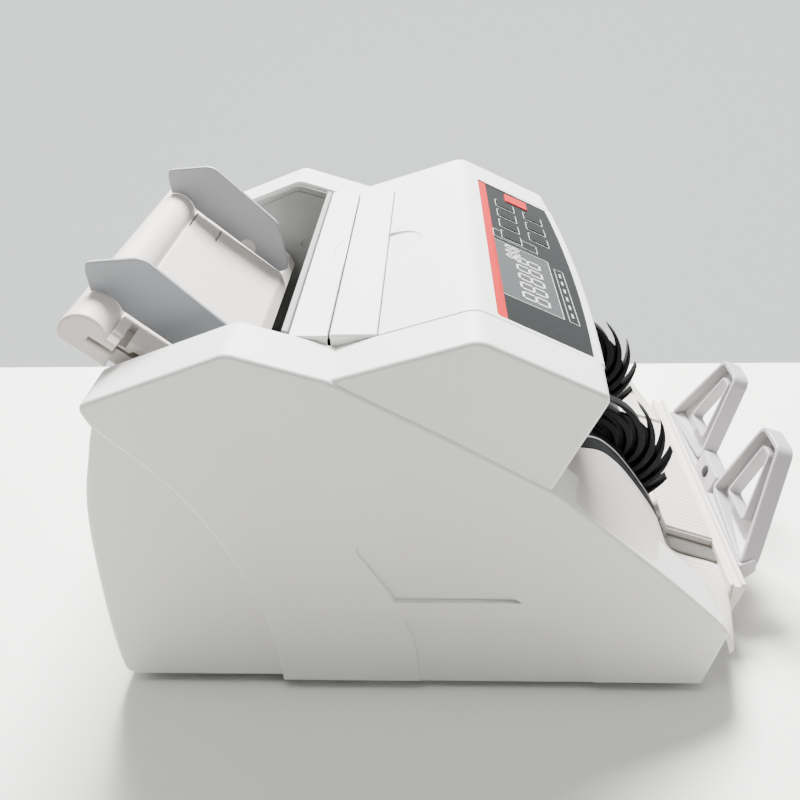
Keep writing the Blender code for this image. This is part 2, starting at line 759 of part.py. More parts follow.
def paddle_outline():
    """A hub with claws that trail back from it: each leaves it steeply and flattens to a point."""
    points = []
    pitch = 360 / FINGERS
    steps = 8
    for finger in range(FINGERS):
        outer = []
        inner = []
        for i in range(steps + 1):
            t = i / steps
            radius = PADDLE_HUB + (IMPELLER_RADIUS - PADDLE_HUB) * t
            turn = math.radians(finger * pitch + PADDLE_SWEEP * t**1.6)
            thick = CLAW_TIP_THICK + CLAW_THICK * (1 - t**4) * min(1, 0.4 + 2 * t)
            outer.append((radius, turn))
            inner.append((radius - thick, turn))
        points += [*outer, *reversed(inner)]
    x, y = IMPELLER_AXIS
    return [(x + radius * math.cos(turn), y + radius * math.sin(turn)) for radius, turn in points]


def impellers():
    rod("impeller_shaft", IMPELLER_AXIS, SHAFT_RADIUS, 0.2 - FRAME_OUTER, FRAME_OUTER - 0.2)
    hole = circle(IMPELLER_AXIS, SHAFT_RADIUS + GAP, 16)
    wheels = []
    for name, side in (("left_impeller", -1), ("right_impeller", 1)):
        middle = side * IMPELLER_X
        half = IMPELLER_WIDTH / 2
        wheels.append(slab(name, [paddle_outline(), hole], middle - half, middle + half, "black_plastic"))
    hang("impeller_pivot", 0, IMPELLER_AXIS, *wheels)


def impeller_guard():
    """A thin cover that carries on the shoulders' hump between them, slotted for the two wheels."""
    outer = smooth(GUARD_CURVE)
    low = [(255.0, 42.2), (253.1, 41.3)]
    inner = [(d - 1.3, h - 1.1) for d, h in reversed(outer[:-1])]
    half = SHOULDER_INNER - 0.6
    guard = slab("impeller_guard", [[*outer, *low, (250.2, 47.2), *inner]], -half, half, "black_plastic")
    window = [(180, 48.4), (300, 48.4), (300, 120), (180, 120)]
    reach = IMPELLER_WIDTH / 2 + 1.0
    shaft_hole = circle(IMPELLER_AXIS, SHAFT_RADIUS + 1.0, 16)
    wall = [(d - 0.5, h - 0.5) for d, h in outer[6:]]
    for side in (-1, 1):
        cut(guard, slab(f"guard_slot_{side}", [window], side * IMPELLER_X - reach, side * IMPELLER_X + reach))
        end = [*wall, (236, 56), (214, 62)]
        join(guard, slab(f"guard_end_{side}", [end, shaft_hole], side * (half - 1.5), side * half))


def stacker_bed():
    bed = [(254.9, 49.6), (259.2, 40.5), (284.2, 31.6), (284.2, 28.6), (257.4, 38.0), (252.6, 48.4)]
    plate = slab("stacker_bed", [bed], -54, 54)
    low = [(256.6, 40.5), (259.2, 36.0), (284.2, 27.0), (284.2, 24.4), (257.6, 33.9), (254.8, 39.6)]
    step = [(255.6, 45.8), (259.0, 39.0), (284.2, 30.0), (284.2, 25.0), (258.6, 34.6), (255.6, 40.0)]
    rail_back = [(281.0, 0.4, 0), (283.9, 22.0, 0), (283.9, 30.2, 0.8)]
    rail_front = [(291.9, 30.2, 0.8), (291.9, 27.0, 2), (285.4, 0.4, 1)]
    rail = fillet([*rail_back, *rail_front], 2)
    for side in (-1, 1):
        join(plate, slab(f"bed_channel_{side}", [low], side * 53.6, side * 66.4))
        join(plate, slab(f"bed_step_{side}", [step], side * 53.2, side * 55.4))
    join(plate, slab("front_rail", [rail], -87, 87))


def stop_upright(side):
    """One leaning A of the stop: a web with a triangular hole, inside a deep rim."""
    frame = leaning_frame(STOP_BASE, STOP_LEAN)
    outer = [(74.0, 0.0, 2), (46.0, 57.4, 4), (24.0, 57.4, 4), (13.0, 6.0, 2)]
    inner = [(68.6, 3.0, 1), (44.4, 55.2, 3), (25.8, 55.2, 3), (16.0, 9.0, 1)]
    hole = [(49.0, 17.0, 1.5), (39.0, 47.6, 2), (31.5, 47.6, 2), (27.0, 17.0, 1.5)]
    shapes = []
    for corners in (outer, inner, hole):
        shapes.append([(side * x, y) for x, y in fillet(corners, 2)])
    rim_frame = frame @ Matrix.Translation((0, 0, 4.5 * MM))
    rim = flat_outline(f"stop_rim_{side}", [shapes[0], shapes[1]], 9.0, rim_frame, "stop_grey")
    web_frame = frame @ Matrix.Translation((0, 0, 7.4 * MM))
    web_corners = [(72.0, 1.0, 1), (45.2, 56.4, 3), (24.9, 56.4, 3), (14.5, 7.5, 1)]
    web_outline = [(side * x, y) for x, y in fillet(web_corners, 2)]
    web = flat_outline(f"stop_web_{side}", [web_outline, shapes[2]], 2.2, web_frame, "stop_grey")
    return rim, web


def stacker_stop():
    bar_outline = [(292.3, 20.0), (292.3, 29.5), (300.5, 33.0), (301.5, 26.0), (296.0, 20.0)]
    bar = slab("stacker_stop", [bar_outline], -73, 73, "stop_grey")
    block_outline = [(292.3, 28.0), (296.0, 41.0), (305.0, 38.0), (302.0, 27.0)]
    block = slab("stop_block", [block_outline], -13.6, 13.6, "stop_grey")
    join(bar, block)
    for side in (-1, 1):
        join(bar, *stop_upright(side))
    socket = Matrix.Translation(world(0, 294.6, 35.0)) @ Matrix.Rotation(math.pi / 2 + 0.28, 4, "X")
    head = bpy.data.meshes.new("stop_screw")
    shape = bmesh.new()
    radius = 3.0 * MM
    bmesh.ops.create_cone(shape, cap_ends=True, segments=16, radius1=radius, radius2=radius, depth=7.0 * MM)
    shape.to_mesh(head)
    well = head.copy()
    shape.free()
    cut(bar, add("stop_screw_well", well, "stop_grey", socket @ Matrix.Diagonal((1.12, 1.12, 1.2, 1))))
    add("stop_screw", head, "black_plastic", socket)


# Electrics


def electrics():
    box("control_board", (-80, 0), (30, 130), (22, 23.6), "board_green")
    box("power_supply", (-84, -20), (12, 24), (46, 88), "steel")
    inlet = box("power_inlet", (-83.6, -56.4), (-13.0, 8.0), (20.4, 40.6), "black_plastic")
    cut(inlet, box("inlet_socket", (-80.5, -59.5), (-30, -2.0), (23.5, 37.5)))
    rocker_outline = [(-12.6, 24.0), (-9.4, 38.5), (2.0, 36.0), (2.0, 25.0)]
    rocker = slab("power_switch", [rocker_outline], -47.5, -36.5, "black_plastic")
    hang("power_switch_pivot", -42, (-3.0, 30.5), rocker)


def build():
    for name, side in (("left_side_cover", -1), ("right_side_cover", 1)):
        side_cover(name, side)
    rear_cover()
    base_pan()
    frame_plates()
    hopper_tray()
    note_guide("left_note_guide", -1, -72.5)
    note_guide("right_note_guide", 1, 57.0)
    hopper_front_wall()
    rear_bridge_cover()
    service_flap()
    head_cover()
    control_panel()
    note_path()
    drive()
    impellers()
    impeller_guard()
    stacker_bed()
    stacker_stop()
    electrics()


clear_scene()
parts = collection("banknote_counter")
cutters = collection("cutters", hidden=True)
build()
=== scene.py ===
"""Looks of a desktop banknote counting machine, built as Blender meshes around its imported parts.

Lengths are in millimetres in the maker's own axes: x across the case, depth from the back to the front, and
height up from the bottom of the case. world() turns them into the shared frame's metres.
"""

import json
import math

import bpy
import numpy as np
from bpy.props import FloatProperty, FloatVectorProperty, PointerProperty
from mathutils import Matrix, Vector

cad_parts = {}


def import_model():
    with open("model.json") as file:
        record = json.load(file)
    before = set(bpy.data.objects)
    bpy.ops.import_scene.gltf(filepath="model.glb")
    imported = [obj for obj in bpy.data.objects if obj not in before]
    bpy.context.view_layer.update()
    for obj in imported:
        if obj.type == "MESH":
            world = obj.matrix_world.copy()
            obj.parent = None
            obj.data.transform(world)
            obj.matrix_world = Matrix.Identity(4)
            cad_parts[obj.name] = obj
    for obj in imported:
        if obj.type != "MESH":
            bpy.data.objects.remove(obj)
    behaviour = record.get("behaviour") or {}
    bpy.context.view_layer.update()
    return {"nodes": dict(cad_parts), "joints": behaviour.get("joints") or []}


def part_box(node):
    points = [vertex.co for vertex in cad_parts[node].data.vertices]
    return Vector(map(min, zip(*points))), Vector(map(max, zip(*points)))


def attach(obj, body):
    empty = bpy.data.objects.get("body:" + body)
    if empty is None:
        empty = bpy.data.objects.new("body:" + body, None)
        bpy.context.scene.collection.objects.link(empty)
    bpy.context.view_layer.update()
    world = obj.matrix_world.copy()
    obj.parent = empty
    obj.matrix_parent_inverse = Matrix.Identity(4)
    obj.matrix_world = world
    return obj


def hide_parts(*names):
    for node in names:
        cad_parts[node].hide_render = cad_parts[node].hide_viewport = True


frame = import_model()

bl_info = {
    "name": "Banknote counter",
    "version": (1, 0, 0),
    "blender": (4, 5, 0),
    "location": "View3D > Sidebar > Banknote counter",
    "description": "Builds the casing, hopper, stacker and control slope of a desktop banknote counter",
    "category": "Object",
}

MM = 0.001
SIDES = (("left", -1), ("right", 1))

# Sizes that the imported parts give
HALF_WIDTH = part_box("right_side_cover")[1].x / MM
DEPTH_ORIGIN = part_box("base_pan")[1].y / MM
FOOT_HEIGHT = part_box("base_pan")[0].z / MM
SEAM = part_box("head_cover")[1].x / MM + 0.3

# The case in side view, as (depth, height) or (depth, height, corner radius)
WALL = 2.5
HEAD_INSET = 1.1
COVER_TOP = ((4.3, 144.8, 0.0), (0.0, 154.8, 6), (62.1, 177.6, 9))
HEAD_STEP = ((100.8, 165.3), (146.6, 138.8), (191.4, 111.4))
HEAD_TOP = ((157.3, 182.0, 12), (208.7, 157.0, 5), (190.2, 116.5, 9))
SHOULDER_EDGE = ((191.4, 111.4), (218.4, 87.3), (242.5, 65.2), (264.5, 43.4), (272.9, 32.9))
COVER_TOE = (265.5, 0.0)
STEP_CURVE = ((67.8, 0.0), (66.1, 22.0), (59.7, 54.9), (46.0, 89.5), (28.8, 117.8), (4.3, 144.8))
REAR_CURVE = ((-4.5, 0.0), (-10.2, 7.5), (-11.1, 50.0), (-8.1, 99.5), (-0.7, 131.1), (3.2, 143.6))
SHOULDER_INNER = 67.0
TAB_LEAN = -math.degrees(math.atan2(171.5 - 134.2, 52.0 - 8.0))
GUARD_TOP = ((200.5, 97.6), (212.4, 96.9), (219.4, 94.8), (226.9, 88.4))
GUARD_CURVE = (*GUARD_TOP, (232.9, 81.2), (239.5, 72.0), (245.5, 63.0), (250.0, 55.0), (252.1, 48.3))
SHOULDER_HUMP = (*GUARD_CURVE, (256.2, 39.8), (262.5, 33.2), (283.4, 25.6))

# The control slope runs from the ridge down to the lip
RIDGE = np.array((157.3, 181.3))
LIP = np.array((208.5, 156.8))
SLOPE = math.atan2(RIDGE[1] - LIP[1], LIP[0] - RIDGE[0])
LIP_BULGE = 6.0
PANEL_TOP, PANEL_FRONT, PANEL_BULGE, PANEL_HALF = 9.5, 54.0, 4.0, 91.0
KEY_ROWS = ((25.2, (64.0, 47.5, 31.0, 14.5)), (42.6, (63.0, 46.5, 30.0)))
START_KEY = (80.6, 33.5, 6.6, 7.0)
KEY_HALF = 5.0

# The hopper's tray is drawn along its slope and off it
TRAY_ORIGIN = np.array((8.0, 171.5))
TRAY_SLOPE = math.atan2(134.2 - 171.5, 52.0 - 8.0)
TRAY_HALF = 89.5
ROLL_HALF = 96.0
TRAY_BEND = 57.7
ROLL_CENTRE = (-8.3, -6.4)
ROLL_RADIUS = 10.0

# The stacker's stop leans forwards from its foot
STOP_FOOT = (292.3, 28.0)
STOP_LEAN = math.atan2(18.0, 54.0)
CLAWS = 14
CLAW_HUB, CLAW_TIP, CLAW_SWEEP = 14.0, 37.6, math.radians(88.0)
WHEEL_X, WHEEL_WIDTH = 44.0, 8.0


def joint_place(name):
    """Depth and height of a joint's axis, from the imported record."""
    joint = next(j for j in frame["joints"] if j["name"] == name)
    return DEPTH_ORIGIN - joint["pos_m"][1] / MM, joint["pos_m"][2] / MM - FOOT_HEIGHT


# Places


def world(x, depth, height):
    """Metres in the shared frame from x, depth and height in millimetres."""
    x, depth, height = np.broadcast_arrays(x, depth, height)
    return np.stack([x, DEPTH_ORIGIN - depth, height + FOOT_HEIGHT], axis=-1) * MM


def across(x, outline):
    """A side view's outline set at x, which may differ from point to point."""
    return world(x, outline[:, 0], outline[:, 1])


def on_slope(points, off):
    """Places on the control slope, from (x, distance down from its ridge) and the way out from its plane."""
    x, down = points.T
    depth = RIDGE[0] + down * math.cos(SLOPE) + off * math.sin(SLOPE)
    return world(x, depth, RIDGE[1] - down * math.sin(SLOPE) + off * math.cos(SLOPE))


def on_tray(along, off):
    """Depth and height of a place along the tray's slope and off its plane."""
    cos, sin = math.cos(TRAY_SLOPE), math.sin(TRAY_SLOPE)
    along, off = np.broadcast_arrays(along, off)
    depth = TRAY_ORIGIN[0] + along * cos - off * sin
    return np.stack([depth, TRAY_ORIGIN[1] + along * sin + off * cos], axis=-1)


def on_stop(points, out):
    """Places on the leaning stop, from (x, distance up its plane) and the way forwards from it."""
    x, up = points.T
    depth = STOP_FOOT[0] + up * math.sin(STOP_LEAN) + out * math.cos(STOP_LEAN)
    return world(x, depth, STOP_FOOT[1] + up * math.cos(STOP_LEAN) - out * math.sin(STOP_LEAN))


# Lines and outlines


def smooth_line(points, steps=6):
    """A Catmull-Rom curve: between two points a cubic that keeps the heading of their neighbours."""
    points = np.asarray(points, float)
    ends = np.vstack([2 * points[0] - points[1], points, 2 * points[-1] - points[-2]])
    before, a, b, after = ends[:-3], ends[1:-2], ends[2:-1], ends[3:]
    t = np.linspace(0, 1, steps, endpoint=False)[:, None, None]
    curve = 2 * a + (b - before) * t
    curve = curve + (2 * before - 5 * a + 4 * b - after) * t**2
    curve = (curve + (3 * a - before - 3 * b + after) * t**3) / 2
    return np.vstack([curve.transpose(1, 0, 2).reshape(-1, points.shape[1]), points[-1:]])


def evenly(points, count):
    """The line divided into equal lengths."""
    along = np.concatenate([[0.0], np.cumsum(np.linalg.norm(np.diff(points, axis=0), axis=1))])
    places = np.linspace(0, along[-1], count)
    return np.stack([np.interp(places, along, points[:, k]) for k in (0, 1)], axis=-1)


def rounded(corners, steps=6):
    """A closed outline whose (x, y, radius) corners become quadratic curves between their two sides."""
    corners = np.array([(*c, 0.0)[:3] for c in corners], float)
    middle, radius = corners[:, :2], corners[:, 2]
    to_last = np.roll(middle, 1, 0) - middle
    to_next = np.roll(middle, -1, 0) - middle
    long_last = np.linalg.norm(to_last, axis=1)
    long_next = np.linalg.norm(to_next, axis=1)
    cosine = (to_last * to_next).sum(1) / (long_last * long_next)
    half = np.arccos(np.clip(cosine, -1, 1)) / 2
    reach = np.minimum(radius / np.tan(half), 0.49 * np.minimum(long_last, long_next))[:, None]
    start = middle + to_last / long_last[:, None] * reach
    end = middle + to_next / long_next[:, None] * reach
    t = np.linspace(0, 1, steps)[None, :, None]
    curve = (1 - t) ** 2 * start[:, None] + 2 * t * (1 - t) * middle[:, None] + t**2 * end[:, None]
    pieces = [curve[k] if radius[k] > 0 else middle[k : k + 1] for k in range(len(corners))]
    return np.vstack(pieces)


def arc(centre, radius, start, end, steps=16):
    """Points on a circle from one angle to another, in degrees."""
    turn = np.radians(np.linspace(start, end, steps))
    return np.stack([centre[0] + radius * np.cos(turn), centre[1] + radius * np.sin(turn)], axis=-1)


def circle(centre, radius, steps=48):
    return arc(centre, radius, 0, 360, steps + 1)[:-1]


def rectangle(x, y, half_x, half_y, radius=0.0, steps=6):
    corners = ((-1, -1), (1, -1), (1, 1), (-1, 1))
    return rounded([(x + i * half_x, y + j * half_y, radius) for i, j in corners], steps)


def inset(outline, distance):
    """The outline moved inwards: each point goes along its two sides' mean normal, so sides stay parallel."""
    to_next = np.roll(outline, -1, 0) - outline
    to_next /= np.maximum(np.linalg.norm(to_next, axis=1), 1e-9)[:, None]
    normal = np.stack([-to_next[:, 1], to_next[:, 0]], axis=-1)
    last = np.roll(normal, 1, 0)
    mean = (normal + last) / np.maximum(1 + (normal * last).sum(1), 0.35)[:, None]
    following = np.roll(outline, -1, 0)
    area = (outline[:, 0] * following[:, 1] - following[:, 0] * outline[:, 1]).sum()
    return outline + np.sign(area) * distance * mean


def shrunk(corners, distance):
    """Rounded corners moved inwards, with smaller radii."""
    corners = np.array(corners, float)
    return np.column_stack([inset(corners[:, :2], distance), np.maximum(corners[:, 2] - distance, 0.6)])


def rim(low, high, low_radius, high_radius=None, steps=5):
    """Inset and level pairs up a plate's edge: a quarter round, the straight side, a quarter round."""
    radii = (low_radius, low_radius if high_radius is None else high_radius)
    edges = []
    for level, radius, inwards in ((low, radii[0], 1), (high, radii[1], -1)):
        turn = np.linspace(0, math.pi / 2, steps) if radius else np.array([math.pi / 2])
        shrink = abs(radius) * (1 - np.sin(turn))
        rise = radius * (1 - np.cos(turn)) if radius else np.zeros(1)
        edges.append(np.stack([shrink, level + inwards * rise], axis=-1))
    return np.vstack([edges[0], edges[1][::-1]])


# Shells: a shell is (vertices, faces), closed and facing outwards


def outward(vertices, faces):
    """The shell turned round if the volume that its faces enclose, summed as tetrahedra, is negative."""
    volume = 0.0
    by_length = {}
    for face in faces:
        by_length.setdefault(len(face), []).append(face)
    for length, group in by_length.items():
        corners = vertices[np.array(group)]
        for k in range(1, length - 1):
            volume += (corners[:, 0] * np.cross(corners[:, k], corners[:, k + 1])).sum()
    return vertices, faces if volume > 0 else [face[::-1] for face in faces]


def skin(rings, looped=False):
    """Quads between each ring of points and the next. Unless the rings loop, a face closes each end."""
    rings = np.asarray(rings, float)
    index = np.arange(rings.shape[0] * rings.shape[1]).reshape(rings.shape[:2])
    rows = np.vstack([index, index[:1]]) if looped else index
    right = np.roll(rows, -1, axis=1)
    quads = np.stack([rows[:-1], right[:-1], right[1:], rows[1:]], axis=-1).reshape(-1, 4)
    faces = quads.tolist()
    if not looped:
        faces += [index[0][::-1].tolist(), index[-1].tolist()]
    return outward(rings.reshape(-1, 3), faces)


def tablet(outline, levels, place):
    """An outline carried up through (inset, level) pairs, each ring set in space by place(points, level)."""
    return skin([place(inset(outline, shrink), level) for shrink, level in levels])


def cross_plate(outline, x0, x1, radius=0.8, far_radius=None):
    """A side view's outline carried from x0 to x1, with quarter-round edges."""
    return tablet(outline, rim(x0, x1, radius, far_radius), lambda points, x: across(x, points))


def slope_plate(outline, low, high, radius=0.1):
    """An outline in (x, distance down the control slope), standing from low to high off it."""
    return tablet(outline, rim(low, high, radius), on_slope)


def hoop(outline, section, place):
    """A closed section, as (inset, level) points, carried round a closed outline."""
    return skin([place(inset(outline, shrink), level) for shrink, level in section], looped=True)


def turned(profile, centre, steps=64):
    """A (radius, x) profile turned about the line across the case through centre; its ends are flat discs."""
    turn = np.linspace(0, 2 * math.pi, steps, endpoint=False)
    radius, x = np.array(profile, float).T[:, :, None]
    return skin(world(x, centre[0] + radius * np.cos(turn), centre[1] + radius * np.sin(turn)))


def block(xs, depths, heights, radius=0.3):
    """A box with rounded edges between two places along each axis."""
    corners = [(depths[i], heights[j], radius) for i, j in ((0, 0), (1, 0), (1, 1), (0, 1))]
    return cross_plate(rounded(corners, 4), xs[0], xs[1], 0.6 * radius)


def merged(*shells):
    """Several shells as one, each keeping its own faces."""
    starts = np.cumsum([0, *(len(vertices) for vertices, _ in shells)])
    faces = [[i + start for i in face] for start, (_, own) in zip(starts, shells) for face in own]
    return np.vstack([vertices for vertices, _ in shells]), faces


def mesh_of(name, shell):
    mesh = bpy.data.meshes.new(name)
    mesh.from_pydata(shell[0].tolist(), [], shell[1])
    mesh.update()
    return mesh


def carved(shell, *others, operation="DIFFERENCE"):
    """The shell with the others cut from it, or joined to it, by exact Booleans."""
    target = bpy.data.objects.new("carving", mesh_of("carving", shell))
    bpy.context.scene.collection.objects.link(target)
    helpers = [target]
    for other in others:
        cutter = bpy.data.objects.new("cutter", mesh_of("cutter", other))
        bpy.context.scene.collection.objects.link(cutter)
        helpers.append(cutter)
        modifier = target.modifiers.new("cut", "BOOLEAN")
        modifier.operation = operation
        modifier.solver = "EXACT"
        modifier.object = cutter
    mesh = target.evaluated_get(bpy.context.evaluated_depsgraph_get()).to_mesh()
    vertices = np.empty(len(mesh.vertices) * 3)
    mesh.vertices.foreach_get("co", vertices)
    faces = [list(polygon.vertices) for polygon in mesh.polygons]
    for helper in helpers:
        data = helper.data
        bpy.data.objects.remove(helper)
        bpy.data.meshes.remove(data)
    return vertices.reshape(-1, 3), faces


def joined(shell, *others):
    return carved(shell, *others, operation="UNION")


# Finishes


def finish(name, colour, roughness, grain=900.0, depth=0.02, stretch=(1, 1, 1), mottle=0.04, **shader_values):
    """A moulded or drawn surface: clouded colour, uneven gloss and a fine grain raised as a bump."""
    made = bpy.data.materials.get(name)
    if made is not None:
        return made
    made = bpy.data.materials.new(name)
    made.use_nodes = True
    nodes, links = made.node_tree.nodes, made.node_tree.links

    def noise(vector, scale, detail):
        texture = nodes.new("ShaderNodeTexNoise")
        texture.inputs["Scale"].default_value = scale
        texture.inputs["Detail"].default_value = detail
        links.new(vector, texture.inputs["Vector"])
        return texture.outputs["Fac"]

    shader = nodes["Principled BSDF"]
    place = nodes.new("ShaderNodeTexCoord")
    scale = nodes.new("ShaderNodeMapping")
    scale.inputs["Scale"].default_value = stretch
    links.new(place.outputs["Object"], scale.inputs["Vector"])
    blend = nodes.new("ShaderNodeMix")
    blend.data_type = "RGBA"
    blend.inputs["A"].default_value = (*(c * (1 - mottle) for c in colour), 1)
    blend.inputs["B"].default_value = (*(min(1, c * (1 + mottle)) for c in colour), 1)
    links.new(noise(place.outputs["Object"], 16.0, 4.0), blend.inputs["Factor"])
    links.new(blend.outputs["Result"], shader.inputs["Base Color"])
    fine = noise(scale.outputs["Vector"], grain, 3.0)
    gloss = nodes.new("ShaderNodeMapRange")
    gloss.inputs["To Min"].default_value = max(0.02, roughness - 0.07)
    gloss.inputs["To Max"].default_value = min(1.0, roughness + 0.07)
    links.new(fine, gloss.inputs["Value"])
    links.new(gloss.outputs["Result"], shader.inputs["Roughness"])
    bump = nodes.new("ShaderNodeBump")
    bump.inputs["Distance"].default_value = depth * MM
    links.new(fine, bump.inputs["Height"])
    links.new(bump.outputs["Normal"], shader.inputs["Normal"])
    for socket, value in shader_values.items():
        shader.inputs[socket.replace("_", " ")].default_value = value
    return made


def shell_finish():
    return finish("shell_plastic", colours().shell, 0.48, 1100, 0.035)


def tray_finish():
    return finish("tray_plastic", colours().tray, 0.5, 1300, 0.02)


def liner_finish():
    return finish("liner_plastic", colours().liner, 0.5, 1000, 0.03)


def guide_finish():
    return finish("guide_plastic", colours().guide, 0.42, 1200, 0.015)


def black_finish():
    return finish("black_plastic", colours().black, 0.34, 800, 0.02)


def steel_finish():
    return finish("ground_steel", (0.6, 0.6, 0.61), 0.3, 500, 0.01, (1, 30, 30), Metallic=1.0)


def rubber_finish():
    return finish("black_rubber", (0.022, 0.022, 0.023), 0.75, 1500, 0.05)


def board_finish():
    return finish("solder_mask", (0.02, 0.16, 0.06), 0.4, 700, 0.03)


def colours():
    return bpy.context.scene.counter_colours


def sizes():
    return bpy.context.scene.counter_sizes


def piece(name, shell, material, body, stands_for=(), crease=32.0):
    """The shell as an object that rides on a body, shaded smooth up to the crease angle."""
    mesh = mesh_of(name, shell)
    mesh.materials.append(material)
    mesh.shade_smooth()
    mesh.set_sharp_from_angle(angle=math.radians(crease))
    made = bpy.data.objects.new(name, mesh)
    bpy.context.scene.collection.objects.link(made)
    even = made.modifiers.new("even_shading", "WEIGHTED_NORMAL")
    even.keep_sharp = True
    even.weight = 80
    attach(made, body)
    if stands_for:
        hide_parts(*stands_for)
    return made


def paint(node, material):
    """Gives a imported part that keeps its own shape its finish."""
    data = frame["nodes"][node].data
    data.materials.clear()
    data.materials.append(material)


# Casing


def lip_reach(x):
    """How far the lip stands forwards at x: a parabola that falls to nothing at the case's sides."""
    return LIP_BULGE * (1 - (x / HALF_WIDTH) ** 2)


def cover_rings(outline, side, outer, radius, reach=False):
    """A cover's outline carried from its outer face to the seam, with a round outer edge."""
    turn = np.linspace(0, math.pi / 2, 7)
    levels = [(radius * (1 - math.sin(a)), outer - radius * (1 - math.cos(a))) for a in turn]
    levels += [(0.0, x) for x in np.linspace(outer - radius, SEAM + 0.5, 6)[1:]]
    levels += [(0.12, SEAM + 0.2), (0.45, SEAM)]
    rings = []
    for shrink, x in levels:
        ring = inset(outline, shrink)
        if reach:
            down = np.clip((ring[:, 0] - RIDGE[0]) / (LIP[0] - RIDGE[0]), 0, 1)
            high = np.clip((ring[:, 1] - 116.0) / (150.0 - 116.0), 0, 1)
            move = lip_reach(x) * down * high
            ring = ring + np.stack([move, -move * math.tan(SLOPE)], axis=-1)
        rings.append(across(side * x, ring))
    return skin(rings)


def recess(outline, side, slope, depth_at):
    """A cutter for a shallow panel in a cover's side, as deep as depth_at says for each height."""

    def place(points, share):
        return across(side * (HALF_WIDTH - share * depth_at(points[:, 1])), points)

    return tablet(outline, [(slope, 1.0), (0.0, 0.1), (-0.1, -0.06), (-0.3, -0.5)], place)


def shoulder_shell(side):
    """Height over a grid: the line along the cover's edge rises to the hump as the sine of the way inwards.

    Fine ridges run in the notes' direction: a raised cosine of x, faded out towards both ends.
    """
    edge = evenly(smooth_line([*SHOULDER_EDGE, (277.0, 22.0)], 8), 61)
    hump = evenly(smooth_line([*SHOULDER_HUMP, (286.5, 20.0)], 6), 61)
    share = np.linspace(0, 1, 161)
    x = HALF_WIDTH - 1.4 + (SHOULDER_INNER - HALF_WIDTH + 1.4) * share
    lift = np.sin(share * math.pi / 2)[:, None, None]
    top = edge + (hump - edge) * lift
    top[:, :, 1] -= 0.25 * (1 - lift[:, :, 0])
    along = np.linspace(0, 1, len(edge))
    fade = np.clip(along * 6, 0, 1) * np.clip((share[:, None] - 0.25) * 5, 0, 1)
    ridge = (0.5 + 0.5 * np.cos(2 * math.pi * x / sizes().ridge_pitch)) ** 6
    top[:, :, 1] -= sizes().ridge_depth * ridge[:, None] * fade
    under = top[:, ::-1].copy()
    under[:, :, 1] -= 2.2
    under[:, :, 0] -= 1.6
    rings = [across(side * xi, np.vstack([t, u])) for xi, t, u in zip(x, top, under)]
    return skin(rings)


class COUNTER_OT_side_covers(bpy.types.Operator):
    """Build the two side covers with their pressed panels, and the shoulders beside the stacker"""

    bl_idname = "counter.side_covers"
    bl_label = "Side covers"

    def execute(self, context):
        shoulder = smooth_line(SHOULDER_EDGE[1:], 8)
        step = smooth_line(STEP_CURVE, 8)[:-1]
        main = rounded([*COVER_TOP, *HEAD_STEP, *shoulder, COVER_TOE, *step], 8)
        cheek = rounded([(*HEAD_STEP[0], 0.0), *HEAD_TOP, (187.0, 109.0), (140.0, 132.0), (92.0, 160.0)], 10)
        under_top = [(10.0, 147.0), (2.9, 152.8, 3), (62.0, 174.8, 6), (100.8, 162.6, 4), (157.3, 179.0, 10)]
        under_front = [(205.1, 155.7, 2), (187.4, 117.0, 5), (190.5, 107.0), (258.0, 44.0), (262.0, 2.5)]
        under_back = [(70.2, 2.5), (62.0, 56.0), (48.0, 90.0), (31.0, 118.0)]
        hollow = rounded([*under_top, *under_front, *under_back])
        fin_top = ((107.0, 83.4), (110.2, 86.3), (121.8, 84.5), (143.5, 77.1), (165.8, 61.8), (179.1, 51.6))
        fin_back = ((122.3, 52.0), (119.9, 57.7), (115.7, 65.3), (107.0, 80.0))
        fin = np.vstack([smooth_line(fin_top, 8), smooth_line(fin_back, 6)])
        low_front = smooth_line(((189.3, 40.7), (192.9, 38.0), (201.9, 25.2), (208.6, 13.6), (216.5, -2.0)), 6)
        low_rear = smooth_line(((133.0, -2.0), (131.7, 19.4), (129.6, 31.1), (126.3, 41.0)), 6)
        low = np.vstack([low_front, low_rear])
        for word, side in SIDES:
            cover = cover_rings(main, side, HALF_WIDTH, sizes().edge)
            head = cover_rings(cheek, side, HALF_WIDTH - HEAD_INSET, sizes().edge, reach=True)
            cover = joined(cover, head)
            inner = cross_plate(hollow, side * 80, side * (HALF_WIDTH - WALL), side * 0.5)
            fin_cut = recess(fin, side, 0.15, lambda height: 0.8 + 1.3 * (86.5 - height) / 35.0)
            low_cut = recess(low, side, 0.2, lambda height: 1.3 + 0 * height)
            cover = carved(cover, inner, fin_cut, low_cut)
            node = f"{word}_side_cover"
            piece(f"{word}_cover", cover, shell_finish(), "case", [node])
            piece(f"{word}_shoulder", shoulder_shell(side), tray_finish(), "case", ())
        return {"FINISHED"}


